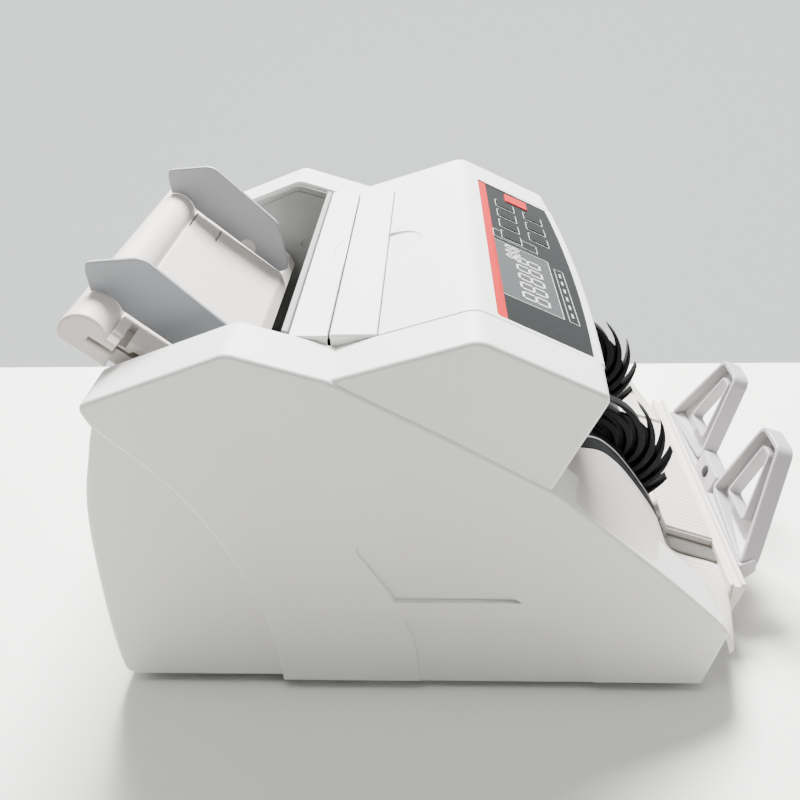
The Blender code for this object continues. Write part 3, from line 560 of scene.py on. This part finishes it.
class COUNTER_OT_rear_cover(bpy.types.Operator):
    """Build the curved back of the case, with openings for the mains inlet and the switch"""

    bl_idname = "counter.rear_cover"
    bl_label = "Rear cover"

    def execute(self, context):
        back = smooth_line(REAR_CURVE, 8)
        front = smooth_line(STEP_CURVE, 8) + (5.5, 0.0)
        half = HALF_WIDTH - 3.0
        cover = cross_plate(np.vstack([back, front[::-1]]), -half, half, 3.0)
        inside = np.vstack([back + (WALL, 0.0), [(60.0, 165.0), (120.0, 165.0), (120.0, -20.0), (-2.0, -20.0)]])
        hollow = cross_plate(inside, WALL - half, half - WALL, 0.4)
        through = (-30, 10)
        sockets = [block(xs, through, (20, 41), 1.0) for xs in ((-84, -56), (-49, -35))]
        slots = [block((x, x + 3.0), through, (52, 84), 0.8) for x in np.arange(-30.0, 31.0, 7.5)]
        cover = carved(cover, hollow, *sockets, *slots)
        piece("back_cover", cover, shell_finish(), "case", ["rear_cover"])
        return {"FINISHED"}


class COUNTER_OT_base(bpy.types.Operator):
    """Build the feet and finish the base pan and the frame plates"""

    bl_idname = "counter.base"
    bl_label = "Base and feet"

    def execute(self, context):
        for node in ("base_pan", "left_frame_plate", "right_frame_plate"):
            paint(node, liner_finish())
        profile = ((5.2, 0.6), (5.6, 0.0), (7.4, 0.0), (8.0, 0.7), (9.4, 3.9), (9.2, 4.6), (8.4, 4.7))
        ring = circle((0.0, 0.0), 1.0, 40)
        for foot in ("foot_1", "foot_2", "foot_3", "foot_4"):
            low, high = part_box(foot)
            centre = np.array((low + high) / 2)[:2]
            rings = []
            for radius, rise in profile:
                flat = centre + radius * MM * ring
                rings.append(np.column_stack([flat, np.full(len(flat), rise * MM)]))
            piece(f"rubber_{foot}", skin(rings), rubber_finish(), "case", [foot])
        return {"FINISHED"}


class COUNTER_OT_head(bpy.types.Operator):
    """Build the head cover with its lip, its finger dish and the bed for the control panel"""

    bl_idname = "counter.head"
    bl_label = "Head cover"

    def execute(self, context):
        half = SEAM - 0.3
        turn = np.linspace(0, math.pi / 2, 4)
        ends, softened = half - 0.4 * (1 - np.cos(turn)), 0.4 * (1 - np.sin(turn))
        xs = np.concatenate([-ends, np.linspace(-half + 2, half - 2, 31), ends[::-1]])
        shrinks = np.concatenate([softened, np.zeros(31), softened[::-1]])
        rings = []
        for x, shrink in zip(xs, shrinks):
            reach = lip_reach(x)
            drop = -reach * math.tan(SLOPE)
            lip = ((*LIP, 2.6), (199.5, 137.0, 0.8), (196.8, 137.8, 0.8), (204.7, 155.0, 1.5))
            corners = [(118.0, 170.7, 0.8), (157.3, 182.2, 12)]
            corners += [(depth + reach, height + drop, radius) for depth, height, radius in lip]
            corners += [(157.3, 178.2, 8), (118.0, 167.8, 0.6)]
            rings.append(across(x, inset(rounded(corners, 8), shrink)))
        cover = skin(rings)
        bed = tablet(panel_edge(0.15), [(0.1, -0.75), (0, -0.6), (0, 6)], on_slope)
        dish = circle((2.5, 0.0), 19.7, 64)
        lean = math.atan2(182.2 - 170.7, 157.3 - 118.0) + math.radians(3.4)

        def dish_place(points, level):
            """The dish's floor sinks towards the flap, and its wall meets the head's top in an arc."""
            depth = 117.0 + points[:, 1] * math.cos(lean) - level * math.sin(lean)
            return world(points[:, 0], depth, 168.6 + points[:, 1] * math.sin(lean) + level * math.cos(lean))

        dish_cut = tablet(dish, [(2.0, 0.0), (0.7, 0.25), (0, 1.0), (-1.5, 9.0)], dish_place)
        cover = carved(cover, bed, dish_cut, *key_wells())
        piece("head_shell", cover, shell_finish(), "case", ["head_cover"])
        return {"FINISHED"}


class COUNTER_OT_bridge(bpy.types.Operator):
    """Build the bridge cover and the service flap behind the head"""

    bl_idname = "counter.bridge"
    bl_label = "Bridge and flap"

    def execute(self, context):
        half = SEAM - 0.3
        bridge = rounded([(81.4, 167.9, 0.4), (97.4, 168.0, 0.3), (97.4, 170.4, 0.7), (81.4, 170.4, 0.9)])
        flap = rounded([(98.2, 168.7, 0.7), (117.6, 168.5, 0.4), (117.6, 171.0, 0.8), (98.2, 170.9, 1.0)])
        bridge, flap = (cross_plate(outline, -half, half, 0.5) for outline in (bridge, flap))
        lip = block((-90.9, 90.9), (81.6, 83.6), (156.0, 169.0), 0.3)
        scoop = tablet(
            circle((0.0, 0.0), 18.0, 64),
            [(1.0, 0.0), (0, 0.4), (-0.8, 4.0)],
            lambda p, level: world(p[:, 0], 99.0 + p[:, 1] * 0.42, 169.9 + level),
        )
        bridge_end = np.array(((83.0, 169.5), (83.0, 168.0), (97.1, 163.0), (97.1, 169.5)))
        flap_end = np.array(((98.6, 169.5), (98.6, 163.5), (101.2, 163.5), (117.0, 168.0), (117.0, 169.5)))

        def ends(outline):
            return [cross_plate(outline, side * 92.0, side * 93.6, 0.0) for side in (-1, 1)]

        bridge = carved(joined(bridge, lip, *ends(bridge_end)), scoop)
        flap = joined(flap, *ends(flap_end))
        piece("bridge_shell", bridge, shell_finish(), "case", ["rear_bridge_cover"])
        piece("flap_shell", flap, shell_finish(), "flap", ["service_flap"])
        paint("flap_hinge_pin", steel_finish())
        return {"FINISHED"}


# Hopper


class COUNTER_OT_tray(bpy.types.Operator):
    """Build the sloping tray with its rolled rear edge and fine ridges"""

    bl_idname = "counter.tray"
    bl_label = "Hopper tray"

    def execute(self, context):
        roll = arc(ROLL_CENTRE, ROLL_RADIUS, 225, 40, 28)
        plate = np.stack([np.linspace(1.2, TRAY_BEND, 30), np.zeros(30)], axis=-1)
        lead = np.array([(TRAY_BEND + 0.8, -0.15), (TRAY_BEND + 1.8, -0.55), (TRAY_BEND + 7.0, -3.3)])
        tip = [(TRAY_BEND + 7.4, -4.6, 0.4), (TRAY_BEND + 4.4, -6.2, 0.4), (TRAY_BEND - 1.4, -3.0, 1)]
        groove = [(12.0, -3.0, 0.6), (11.0, -4.9, 0.4), (-6.0, -4.9, 0.4), (-6.0, -6.4, 0.4), (22.0, -6.4, 0.4)]
        under = rounded([*tip, *groove, (22.0, -13.4, 0.6)], 3)
        section = np.vstack([roll, [(0.3, -0.9)], plate, lead, under])
        on_plate = np.zeros(len(section))
        on_plate[30:56] = 1.0
        rings = []
        for x in np.linspace(-TRAY_HALF, TRAY_HALF, 717):
            ring = section.copy()
            ring[:, 1] -= 0.16 * (0.5 + 0.5 * np.cos(2 * math.pi * x / 1.9)) ** 4 * on_plate
            rings.append(across(x, on_tray(ring[:, 0], ring[:, 1])))
        tray = skin(rings)
        inner = [(0.2, -1.1), (4.9, -1.1), (4.9, -4.85), (-6.1, -4.85)]
        end = [arc(ROLL_CENTRE, ROLL_RADIUS + 0.05, 225, 40, 28), inner]
        end = np.vstack([*end, [(-6.1, -6.45), (5.8, -6.45), (5.8, -13.45)]])
        end = on_tray(end[:, 0], end[:, 1])
        ends = [cross_plate(end, side * 88.0, side * ROLL_HALF, 0.0, side * 1.4) for side in (-1, 1)]

        def slot(x0, x1, along, half=0.5, floor=-2.4):
            alongs = np.array((along - half, along + half, along + half, along - half))
            return cross_plate(on_tray(alongs, np.array((floor, floor, 3, 3))), x0, x1, 0.0)

        slots = [slot(38.1, 58.1, 1.3), slot(41.1, 58.1, 17.2)]
        slots += [slot(x0, x1, 6.9, 1.7, -3.9) for x0, x1 in ((60.1, 99), (-99, -76.1))]
        tray = joined(carved(tray, *slots), *ends)
        piece("tray_shell", tray, tray_finish(), "case", ["hopper_tray"])
        return {"FINISHED"}


class COUNTER_OT_guides(bpy.types.Operator):
    """Build the two note guides that slide along the tray's roll"""

    bl_idname = "counter.guides"
    bl_label = "Note guides"

    def execute(self, context):
        clear = 0.5
        hug = arc(ROLL_CENTRE, ROLL_RADIUS + clear, 137, 42, 14)
        hug = on_tray(hug[:, 0], hug[:, 1])
        front = on_tray(np.array((56.5, TRAY_BEND + 1.5)), np.array((clear, 5.0)))
        corners = [(*hug[-1], 0), (*front[0], 0), (*front[1], 2.2), (56.8, 143.5, 4), (53.5, 164.9, 6)]
        corners += [(21.0, 197.2, 10), (-3.4, 195.6, 5), (-4.2, 191.0, 0)]
        outline = np.vstack([rounded(corners, 9)[1:], hug[:-1]])
        for word, side in SIDES:
            low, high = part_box(f"{word}_note_guide")
            outer = (low.x if side < 0 else high.x) / MM
            inner = outer - side * 2.5
            guide = cross_plate(outline, inner, outer, side * 0.8)
            half_round = arc((35.0, 150.9), 4.6, TAB_LEAN, TAB_LEAN + 180, 20)
            tab = cross_plate(half_round, inner + side * 0.4, inner - side * 1.2, side * -0.3)
            piece(f"{word}_guide_tab", tab, tray_finish(), f"{word}_guide", ())
            piece(f"{word}_guide", guide, guide_finish(), f"{word}_guide", [f"{word}_note_guide"])
        return {"FINISHED"}


class COUNTER_OT_hopper_front(bpy.types.Operator):
    """Build the grey wall that the front of the stack rests on"""

    bl_idname = "counter.hopper_front"
    bl_label = "Hopper front wall"

    def execute(self, context):
        front = [(78.4, 172.0, 0.8), (81.0, 171.2, 0.6), (81.0, 150.0, 5), (78.5, 126.0, 0.6)]
        front = rounded([*front, (76.0, 126.2, 0.6), (78.4, 150.0, 5)], 8)
        wall = cross_plate(front, -91.1, 91.1, 0.4)
        piece("stack_wall", wall, liner_finish(), "case", ["hopper_front_wall"])
        side_top = [(6.5, 144.5), (3.6, 152.4, 2), (62.1, 175.2, 8), (99.0, 163.4)]
        side_wall = rounded([*side_top, (90.0, 152.0), (60.0, 130.0)], 8)
        for word, side in SIDES:
            wall = cross_plate(side_wall, side * 92.2, side * 93.7, side * 0.2)
            piece(f"{word}_hopper_side", wall, liner_finish(), "case", ())
        return {"FINISHED"}


# Control slope


def panel_edge(grow=0.0):
    """The panel's outline: its front edge bows out as a parabola."""
    half = PANEL_HALF + grow
    share = np.linspace(-1, 1, 41)
    front = np.stack([half * share, PANEL_FRONT + grow + PANEL_BULGE * (1 - share**2)], axis=-1)
    back = rounded([(half, PANEL_TOP - grow, 2), (-half, PANEL_TOP - grow, 2), (-half, 30), (half, 30)])[:12]
    return np.vstack([front, back])


def key_places():
    """x, distance down the slope, and half sizes of each key, the start key first."""
    places = [START_KEY]
    for down, row in KEY_ROWS:
        places += [(x, down, KEY_HALF, KEY_HALF) for x in row]
    return places


def key_wells():
    """Cutters for the holes that the keys sit in."""
    return [slope_plate(rectangle(x, y, i + 0.3, j + 0.3, 1.0), -9, 4, 0.0) for x, y, i, j in key_places()]


def printed(outlines, low=-0.1, high=0.03):
    return merged(*(slope_plate(outline, low, high, 0.02) for outline in outlines))


def outlined(x, down, half_x, half_y, width=0.5, radius=1.2, low=-0.1, high=0.03):
    """A thin frame round a rectangle: a flat section carried round its outline."""
    section = [(0, low), (0, high), (width, high), (width, low)]
    edge = rectangle(x, down, half_x, half_y, radius)
    return hoop(edge, section, on_slope)


def bar(x, down, half_x, half_y, low=-0.1, high=0.04):
    return slope_plate(rectangle(x, down, half_x, half_y, 0.1, 3), low, high, 0.01)


def digit(x, down, height, width, low, high):
    """Seven unlit segments of one figure, read from the stacker's side."""
    stroke = 0.55
    rows = [bar(x, down + k * height / 2, width / 2 - 0.5, stroke, low, high) for k in (-1, 0, 1)]
    posts = [
        bar(x + i * width / 2, down + k * height / 4, stroke, height / 4 - 0.55, low, high)
        for i in (-1, 1)
        for k in (-1, 1)
    ]
    return merged(*rows, *posts)


class COUNTER_OT_panel(bpy.types.Operator):
    """Build the control panel with its film, red band, display and printed marks"""

    bl_idname = "counter.panel"
    bl_label = "Control panel"

    def execute(self, context):
        matt = {"Specular_IOR_Level": 0.15}
        film = finish("panel_film", colours().panel, 0.4, 300, 0.006, mottle=0.08, **matt)
        band = finish("red_print", colours().red, 0.6, 400, 0.006, mottle=0.05, **matt)
        light = finish("light_print", (0.42, 0.44, 0.44), 0.35, 500, 0.004)
        glass = finish("display_window", (0.04, 0.045, 0.045), 0.25, 300, 0.004, Specular_IOR_Level=0.35)
        lit = finish("segments", (0.58, 0.59, 0.56), 0.3, 400, 0.004)
        sheet = carved(slope_plate(panel_edge(), -0.55, -0.05, 0.1), *key_wells())
        piece("panel_film", sheet, film, "case", ["control_panel"])
        top, foot, side = PANEL_TOP + 0.4, PANEL_TOP + 5.0, PANEL_HALF - 0.4
        stripe = rounded([(-side, top, 2), (side, top, 2), (side, foot), (-side, foot)])
        piece("red_band", printed([stripe]), band, "case", ())
        frames = [outlined(x, down, hx + 0.9, hy + 0.9, 0.4) for x, down, hx, hy in key_places()[1:]]
        frames += [outlined(-31.0, 29.0, 33.0, 15.5, 0.45, 1.0), outlined(-34.0, 49.5, 30.0, 2.6, 0.3, 0.8)]
        frames.append(outlined(12.0, 27.0, 5.5, 12.5, 0.35, 0.8))
        for k in range(6):
            frames.append(bar(-56.0 + 9.0 * k, 49.5, 2.2, 0.5))
        piece("panel_lines", merged(*frames), light, "case", ())
        window = slope_plate(rectangle(-31.0, 29.0, 32.2, 14.7, 0.8), -0.3, 0.0, 0.05)
        piece("display_cover", window, glass, "case", ["display_glass"])
        figures = [digit(-55.0 + 10.5 * k, 31.5, 13.0, 6.4, -0.1, 0.05) for k in range(5)]
        figures += [digit(-13.5 + 6.0 * k, 24.0, 7.0, 3.2, -0.1, 0.05) for k in range(3)]
        piece("display_figures", merged(*figures), lit, "case", ())
        paint("display_board", board_finish())
        return {"FINISHED"}


class COUNTER_OT_keys(bpy.types.Operator):
    """Build the start key and the seven function keys"""

    bl_idname = "counter.keys"
    bl_label = "Keys"

    def execute(self, context):
        red = finish("red_key", colours().red, 0.5, 500, 0.008, Specular_IOR_Level=0.2)
        dark = finish("dark_key", colours().panel, 0.45, 500, 0.008, Specular_IOR_Level=0.15)
        for number, (x, down, half_x, half_y) in enumerate(key_places()):
            cap = slope_plate(rectangle(x, down, half_x, half_y, 1.2), -3.0, 0.42, 0.25)
            if number:
                piece(f"key_cap_{number}", cap, dark, f"button_{number}", [f"key_{number}"])
            else:
                piece("start_cap", cap, red, "start_button", ["start_key"])
        return {"FINISHED"}


# Stacker


def claw_shells(centre, middle):
    """Curved claws: the radius grows evenly while the angle grows as the 1.6th power of the same share.

    Each cross section is a rounded box that thins towards the tip, across the case and outwards alike.
    """
    share = np.linspace(0, 1, 22)
    radius = CLAW_HUB - 1.0 + (CLAW_TIP - CLAW_HUB + 1.0) * share
    turn = CLAW_SWEEP * share**1.6
    thick = 0.35 + 4.6 * (1 - share**4) * np.minimum(1, 0.4 + 2 * share)
    width = WHEEL_WIDTH * (1 - 0.25 * share**3)
    box = rectangle(0, 0, 0.5, 0.5, 0.18, 3)
    shells = []
    for claw in range(CLAWS):
        angle = (turn + claw * 2 * math.pi / CLAWS)[:, None]
        reach = radius[:, None] - thick[:, None] / 2 + box[:, 1] * thick[:, None]
        x = middle + box[:, 0] * width[:, None]
        rings = world(x, centre[0] + reach * np.cos(angle), centre[1] + reach * np.sin(angle))
        shells.append(skin(rings))
    return shells


class COUNTER_OT_wheels(bpy.types.Operator):
    """Build the two stacker wheels with their trailing claws"""

    bl_idname = "counter.wheels"
    bl_label = "Stacker wheels"

    def execute(self, context):
        centre = joint_place("stacker_spin")
        black = finish("wheel_plastic", (0.005, 0.005, 0.006), 0.5, 500, 0.01, Specular_IOR_Level=0.15)
        for word, side in SIDES:
            middle = side * WHEEL_X
            half = WHEEL_WIDTH / 2
            hub = ((3.3, -0.4), (6.0, -0.4), (6.6, 0.6), (13.6, 0.6), (14.0, 1.0))
            hub = [(radius, x - half) for radius, x in hub]
            hub += [(radius, -x) for radius, x in reversed(hub)]
            web = [(12.0, middle - 1.2), (29.6, middle - 1.2), (30.0, middle - 0.8)]
            web += [(radius, 2 * middle - x) for radius, x in reversed(web)]
            shells = [turned([(radius, middle + x) for radius, x in hub], centre), turned(web, centre)]
            shells += claw_shells(centre, middle)
            wheel = merged(*shells)
            piece(f"{word}_wheel", wheel, black, "stacker_wheels", [f"{word}_impeller"])
        paint("impeller_shaft", steel_finish())
        return {"FINISHED"}


class COUNTER_OT_guard(bpy.types.Operator):
    """Build the dark guard between the shoulders, its ribbed bands and their light edges"""

    bl_idname = "counter.guard"
    bl_label = "Wheel guard"

    def execute(self, context):
        black = finish("guard_plastic", (0.011, 0.011, 0.012), 0.5, 800, 0.03, Specular_IOR_Level=0.3)
        outer = smooth_line(GUARD_CURVE, 6)
        inner = (outer - (1.3, 1.1))[::-1]
        low = np.array([(255.0, 42.2), (253.1, 41.3), (250.2, 47.2)])
        half = SHOULDER_INNER - 0.6
        guard = cross_plate(np.vstack([outer, low, inner[1:]]), -half, half, 0.3)
        window = np.array([(180.0, 48.4), (300.0, 48.4), (300.0, 120.0), (180.0, 120.0)])
        reach = WHEEL_WIDTH / 2 + 1.0
        slots = [cross_plate(window, side * WHEEL_X - reach, side * WHEEL_X + reach, 0.0) for side in (-1, 1)]
        guard = carved(guard, *slots)
        piece("guard_shell", guard, black, "case", ["impeller_guard"])
        weave = finish("ribbed_band", (0.013, 0.014, 0.015), 0.8, 1500, 0.12, Specular_IOR_Level=0.2)
        edging = finish("band_edge", (0.62, 0.61, 0.58), 0.45, 900, 0.02)
        crown = smooth_line(GUARD_CURVE[:-1], 6)
        bands, edges = [], []
        for side in (-1, 1):
            ribbon = np.vstack([crown + (0.25, 0.35), (crown - (0.3, 0.3))[::-1]])
            bands.append(cross_plate(ribbon, side * 57.8, side * 66.9, 0.1 * side))
            line = np.vstack([crown + (0.45, 0.6), (crown - (0.3, 0.3))[::-1]])
            edges.append(cross_plate(line, side * 56.9, side * 57.9, 0.12 * side))
        piece("guard_bands", merged(*bands), weave, "case", ())
        piece("guard_edges", merged(*edges), edging, "case", ())
        return {"FINISHED"}


class COUNTER_OT_bed(bpy.types.Operator):
    """Build the ridged bed under the counted stack, its channels and the front rail"""

    bl_idname = "counter.bed"
    bl_label = "Stacker bed"

    def execute(self, context):
        dip_top = [(254.9, 49.6), (255.6, 47.2), (257.6, 43.0), (259.2, 40.5), (262.0, 39.5)]
        top = np.array([*dip_top, (284.2, 31.6)])
        under = np.array([(284.2, 28.8), (257.6, 38.2), (252.8, 48.4)])
        xs = np.linspace(-54, 54, 541)
        groove = 0.3 * (0.5 + 0.5 * np.cos(2 * math.pi * xs / sizes().ridge_pitch)) ** 6
        section = np.vstack([top, under])
        sunk = np.array([0, 0.5, 1, 1, 1, 1, 0, 0, 0])
        dip = np.stack([0 * sunk, sunk], axis=-1)
        floor = skin([across(x, section - g * dip) for x, g in zip(xs, groove)])
        low = [(255.6, 42.6, 1), (259.2, 36.0, 2), (284.2, 27.0), (284.2, 24.6), (257.6, 34.0, 2)]
        low = rounded([*low, (254.4, 41.0)])
        step = [(255.4, 46.5, 0.5), (259.0, 39.3, 1), (284.2, 30.4), (284.2, 25.0), (258.6, 34.6)]
        step = rounded([*step, (255.0, 42.0)])
        steps = [cross_plate(step, side * 53.2, side * 55.2, 0.3 * side) for side in (-1, 1)]
        channels = [cross_plate(low, side * 53.6, side * 66.4, 0.3 * side) for side in (-1, 1)]
        piece("bed_shell", merged(floor, *steps), tray_finish(), "case", ["stacker_bed"])
        # The channels' dark grey is painted shade for the deep grooves under the bands. The metallic, fairly
        # glossy surface is their own finish.
        satin_and_painted_shade = finish("satin_channel_painted_shade", (0.2, 0.195, 0.18), 0.35, 300, 0.01, (1, 20, 20), Metallic=0.6)
        piece("bed_channels", merged(*channels), satin_and_painted_shade, "case", ())
        groove = [(286.0, 30.2, 0.5), (286.5, 28.4, 0.4), (289.4, 28.4, 0.4), (289.9, 30.2, 0.5)]
        front = [(291.9, 30.2, 0.7), (291.9, 27.0, 2), (285.4, 0.4, 1), (281.0, 0.4)]
        rail = rounded([(283.9, 22.0), (283.9, 30.2, 0.7), *groove, *front])
        piece("front_rail", cross_plate(rail, -87, 87, 1.0), tray_finish(), "case", ())
        return {"FINISHED"}


def upright(side):
    """One leaning A: a deep rim carried round its outline, a web, and a smaller rim round its window."""
    outer = ((74.0, 0.0, 5), (46.0, 57.4, 7), (24.0, 57.4, 7), (13.0, 6.0, 5))
    window = ((52.0, 13.5, 3.5), (39.8, 49.5, 3.5), (30.6, 49.5, 3.5), (25.0, 13.5, 3.5))
    outer, window = ([(side * x, up, radius) for x, up, radius in corners] for corners in (outer, window))
    deep = [(0.0, 0.5), (0.4, 0.1), (2.0, 0.1), (2.4, 0.5), (2.4, 8.6), (2.0, 9.0), (0.4, 9.0), (0.0, 8.6)]
    inner = [(0.0, 2.0), (0.2, 1.8), (1.4, 1.8), (1.6, 2.0), (1.6, 8.6), (1.4, 8.8), (0.2, 8.8), (0.0, 8.6)]
    rim_shell = hoop(rounded(outer, 9), deep, on_stop)
    web = tablet(rounded(shrunk(outer, 1.2), 9), [(0, 6.3), (0, 8.5)], on_stop)
    opening = tablet(rounded(shrunk(window, 0.8), 8), [(0, -5.0), (0, 15.0)], on_stop)
    window_rim = hoop(rounded(window, 8), inner, on_stop)
    return [rim_shell, carved(web, opening), window_rim]


class COUNTER_OT_stop(bpy.types.Operator):
    """Build the leaning stop: two open uprights on one bar, with the screw that holds it"""

    bl_idname = "counter.stop"
    bl_label = "Stacker stop"

    def execute(self, context):
        grey = finish("stop_plastic", colours().stop, 0.36, 900, 0.012)
        foot = [(292.3, 20.0, 1), (292.3, 29.5, 1), (300.5, 33.0, 1.5), (301.5, 26.0, 2), (296.0, 20.0, 1)]
        centre = [(292.3, 28.0, 0.6), (296.0, 41.0, 1.5), (305.0, 38.0, 1.5), (302.0, 27.0, 0.6)]
        shells = [cross_plate(rounded(foot), -73, 73, 0.8), cross_plate(rounded(centre), -13.6, 13.6, 1.2)]
        shells += [*upright(-1), *upright(1)]
        piece("stop_shell", merged(*shells), grey, "case", ["stacker_stop"])
        lean = 0.28
        ring = circle((0.0, 0.0), 1.0, 40)
        rings = []
        for radius, out in ((3.4, -3.0), (3.4, 0.6), (3.0, 1.1), (2.0, 1.5), (0.6, 1.65)):
            x, up = radius * ring.T
            depth = 294.8 - out * math.cos(lean) + up * math.sin(lean)
            rings.append(world(x, depth, 35.0 + up + out * math.sin(lean)))
        piece("stop_knob", skin(rings), black_finish(), "case", ["stop_screw"])
        return {"FINISHED"}


# Inside and back


class COUNTER_OT_mechanism(bpy.types.Operator):
    """Finish the shafts, rollers, belts, motor and boards inside the case"""

    bl_idname = "counter.mechanism"
    bl_label = "Mechanism"

    def execute(self, context):
        rubber = rubber_finish()
        acetal = finish("white_acetal", (0.72, 0.72, 0.68), 0.35, 700, 0.02)
        friction = finish("ribbed_friction_rubber", (0.05, 0.045, 0.043), 0.7, 600, 0.08)
        case = finish("zinc_plate", (0.55, 0.56, 0.56), 0.38, 260, 0.02, Metallic=1.0)
        groups = {
            steel_finish(): ("pickup_shaft", "feed_shaft", "retard_shaft", "transport_shaft"),
            rubber: (
                *("left_transport_roller", "right_transport_roller", "retard_roller"),
                *("feed_belt", "transport_belt", "stacker_belt", "pickup_belt"),
            ),
            friction: ("left_pickup_roller", "right_pickup_roller", "left_feed_roller", "right_feed_roller"),
            acetal: ("pinch_roller", "motor_pulley", "stacker_pulley"),
            board_finish(): ("sensor_board", "control_board"),
            case: ("main_motor", "power_supply"),
            black_finish(): ("power_inlet", "power_switch"),
        }
        for material, nodes in groups.items():
            for node in nodes:
                paint(node, material)
        return {"FINISHED"}


# Stage


class COUNTER_OT_stage(bpy.types.Operator):
    """Set up the floor, the soft lights and the camera"""

    bl_idname = "counter.stage"
    bl_label = "Stage"

    def execute(self, context):
        scene = context.scene
        table = [(-3.0, -4.0, 0.0), (0.2, -4.0, 0.0), (0.2, 4.0, 0.0), (-3.0, 4.0, 0.0)]
        wall = [(2.5, 5.0, -4.0), (2.5, -5.0, -4.0), (2.5, -5.0, 4.0), (2.5, 5.0, 4.0)]
        glow = {"Emission_Color": (0.97, 1.0, 1.0, 1.0), "Emission_Strength": 1.3}
        for name, corners, colour, light in (
            ("table_top", table, (0.88, 0.87, 0.83), {}),
            ("back_wall", wall[::-1], (0.1, 0.1, 0.1), glow),
        ):
            mesh = mesh_of(name, (np.array(corners), [[0, 1, 2, 3]]))
            mesh.materials.append(finish(name, colour, 0.6, 40, 0.05, mottle=0.01, **light))
            made = bpy.data.objects.new(name, mesh)
            scene.collection.objects.link(made)
        studio = scene.world or bpy.data.worlds.new("studio")
        scene.world = studio
        studio.use_nodes = True
        background = studio.node_tree.nodes["Background"]
        background.inputs["Color"].default_value = (0.80, 0.83, 0.84, 1)
        background.inputs["Strength"].default_value = 0.37
        aim = (0.0, 0.0, 0.08)
        lamps = (
            ("key", (0.75, 0.1, 1.3), 0.6, 140.0),
            ("top", (-0.3, 0.25, 1.4), 0.4, 5.0),
            ("fill", (-0.3, -0.9, 1.1), 1.0, 1.5),
        )
        for name, place, size, power in lamps:
            lamp = bpy.data.lights.new(name, "AREA")
            lamp.size = size
            lamp.energy = power
            made = bpy.data.objects.new(name, lamp)
            made.location = place
            back = np.array(place) - np.array(aim)
            back /= np.linalg.norm(back)
            right = np.cross((0.0, 1.0, 0.0), back)
            right /= np.linalg.norm(right)
            turn = Matrix(np.column_stack([right, np.cross(back, right), back]).tolist())
            made.rotation_euler = turn.to_euler()
            scene.collection.objects.link(made)
        lens = bpy.data.cameras.new("camera")
        lens.sensor_width = 36.0
        lens.lens = 38.7
        camera = bpy.data.objects.new("camera", lens)
        pose = Matrix.Identity(4)
        right, up, back = (0.0324, -0.9992, -0.0247), (0.5174, -0.0044, 0.8557), (-0.8551, -0.0406, 0.5168)
        for column, axis in enumerate((right, up, back)):
            pose.col[column] = (*axis, 0.0)
        pose.translation = (-0.4032, DEPTH_ORIGIN * MM - 0.1408, 0.3319)
        camera.matrix_world = pose
        scene.collection.objects.link(camera)
        scene.camera = camera
        return {"FINISHED"}


# Settings and panel


def size_property(name, words, default):
    return FloatProperty(name=name, description=f"{words}, in millimetres", default=default, min=0.05)


class CounterSizes(bpy.types.PropertyGroup):
    edge: size_property("Cover edge", "Radius of the side covers' outer edges", 2.0)
    ridge_pitch: size_property("Ridge pitch", "Distance between the stacker's fine ridges", 3.4)
    ridge_depth: size_property("Ridge depth", "Depth of the grooves between ridges", 0.28)


def colour_property(name, default):
    words = f"Base colour: {name.lower()}"
    return FloatVectorProperty(name=name, description=words, subtype="COLOR", min=0, max=1, default=default)


class CounterColours(bpy.types.PropertyGroup):
    shell: colour_property("Case", (0.72, 0.71, 0.69))
    tray: colour_property("Tray and bed", (0.66, 0.61, 0.57))
    liner: colour_property("Liner", (0.25, 0.255, 0.245))
    guide: colour_property("Note guides", (0.32, 0.335, 0.36))
    black: colour_property("Black plastic", (0.014, 0.014, 0.015))
    stop: colour_property("Stop", (0.43, 0.41, 0.42))
    panel: colour_property("Panel film", (0.006, 0.007, 0.007))
    red: colour_property("Red print", (0.42, 0.004, 0.008))


OPERATORS = (
    COUNTER_OT_stage,
    COUNTER_OT_side_covers,
    COUNTER_OT_rear_cover,
    COUNTER_OT_base,
    COUNTER_OT_head,
    COUNTER_OT_bridge,
    COUNTER_OT_tray,
    COUNTER_OT_guides,
    COUNTER_OT_hopper_front,
    COUNTER_OT_panel,
    COUNTER_OT_keys,
    COUNTER_OT_wheels,
    COUNTER_OT_guard,
    COUNTER_OT_bed,
    COUNTER_OT_stop,
    COUNTER_OT_mechanism,
)


class COUNTER_PT_build(bpy.types.Panel):
    bl_idname = "COUNTER_PT_build"
    bl_label = "Banknote counter"
    bl_space_type = "VIEW_3D"
    bl_region_type = "UI"
    bl_category = "Banknote counter"

    def draw(self, context):
        for settings in (context.scene.counter_sizes, context.scene.counter_colours):
            for name in settings.__annotations__:
                self.layout.prop(settings, name)
        for operator in OPERATORS:
            self.layout.operator(operator.bl_idname)


CLASSES = (CounterSizes, CounterColours, *OPERATORS, COUNTER_PT_build)


def register():
    for made in CLASSES:
        bpy.utils.register_class(made)
    bpy.types.Scene.counter_sizes = PointerProperty(type=CounterSizes)
    bpy.types.Scene.counter_colours = PointerProperty(type=CounterColours)


def unregister():
    del bpy.types.Scene.counter_colours
    del bpy.types.Scene.counter_sizes
    for made in reversed(CLASSES):
        bpy.utils.unregister_class(made)


def main():
    register()
    for operator in OPERATORS:
        group, name = operator.bl_idname.split(".")
        getattr(getattr(bpy.ops, group), name)()
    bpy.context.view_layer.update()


if __name__ == "__main__":
    main()
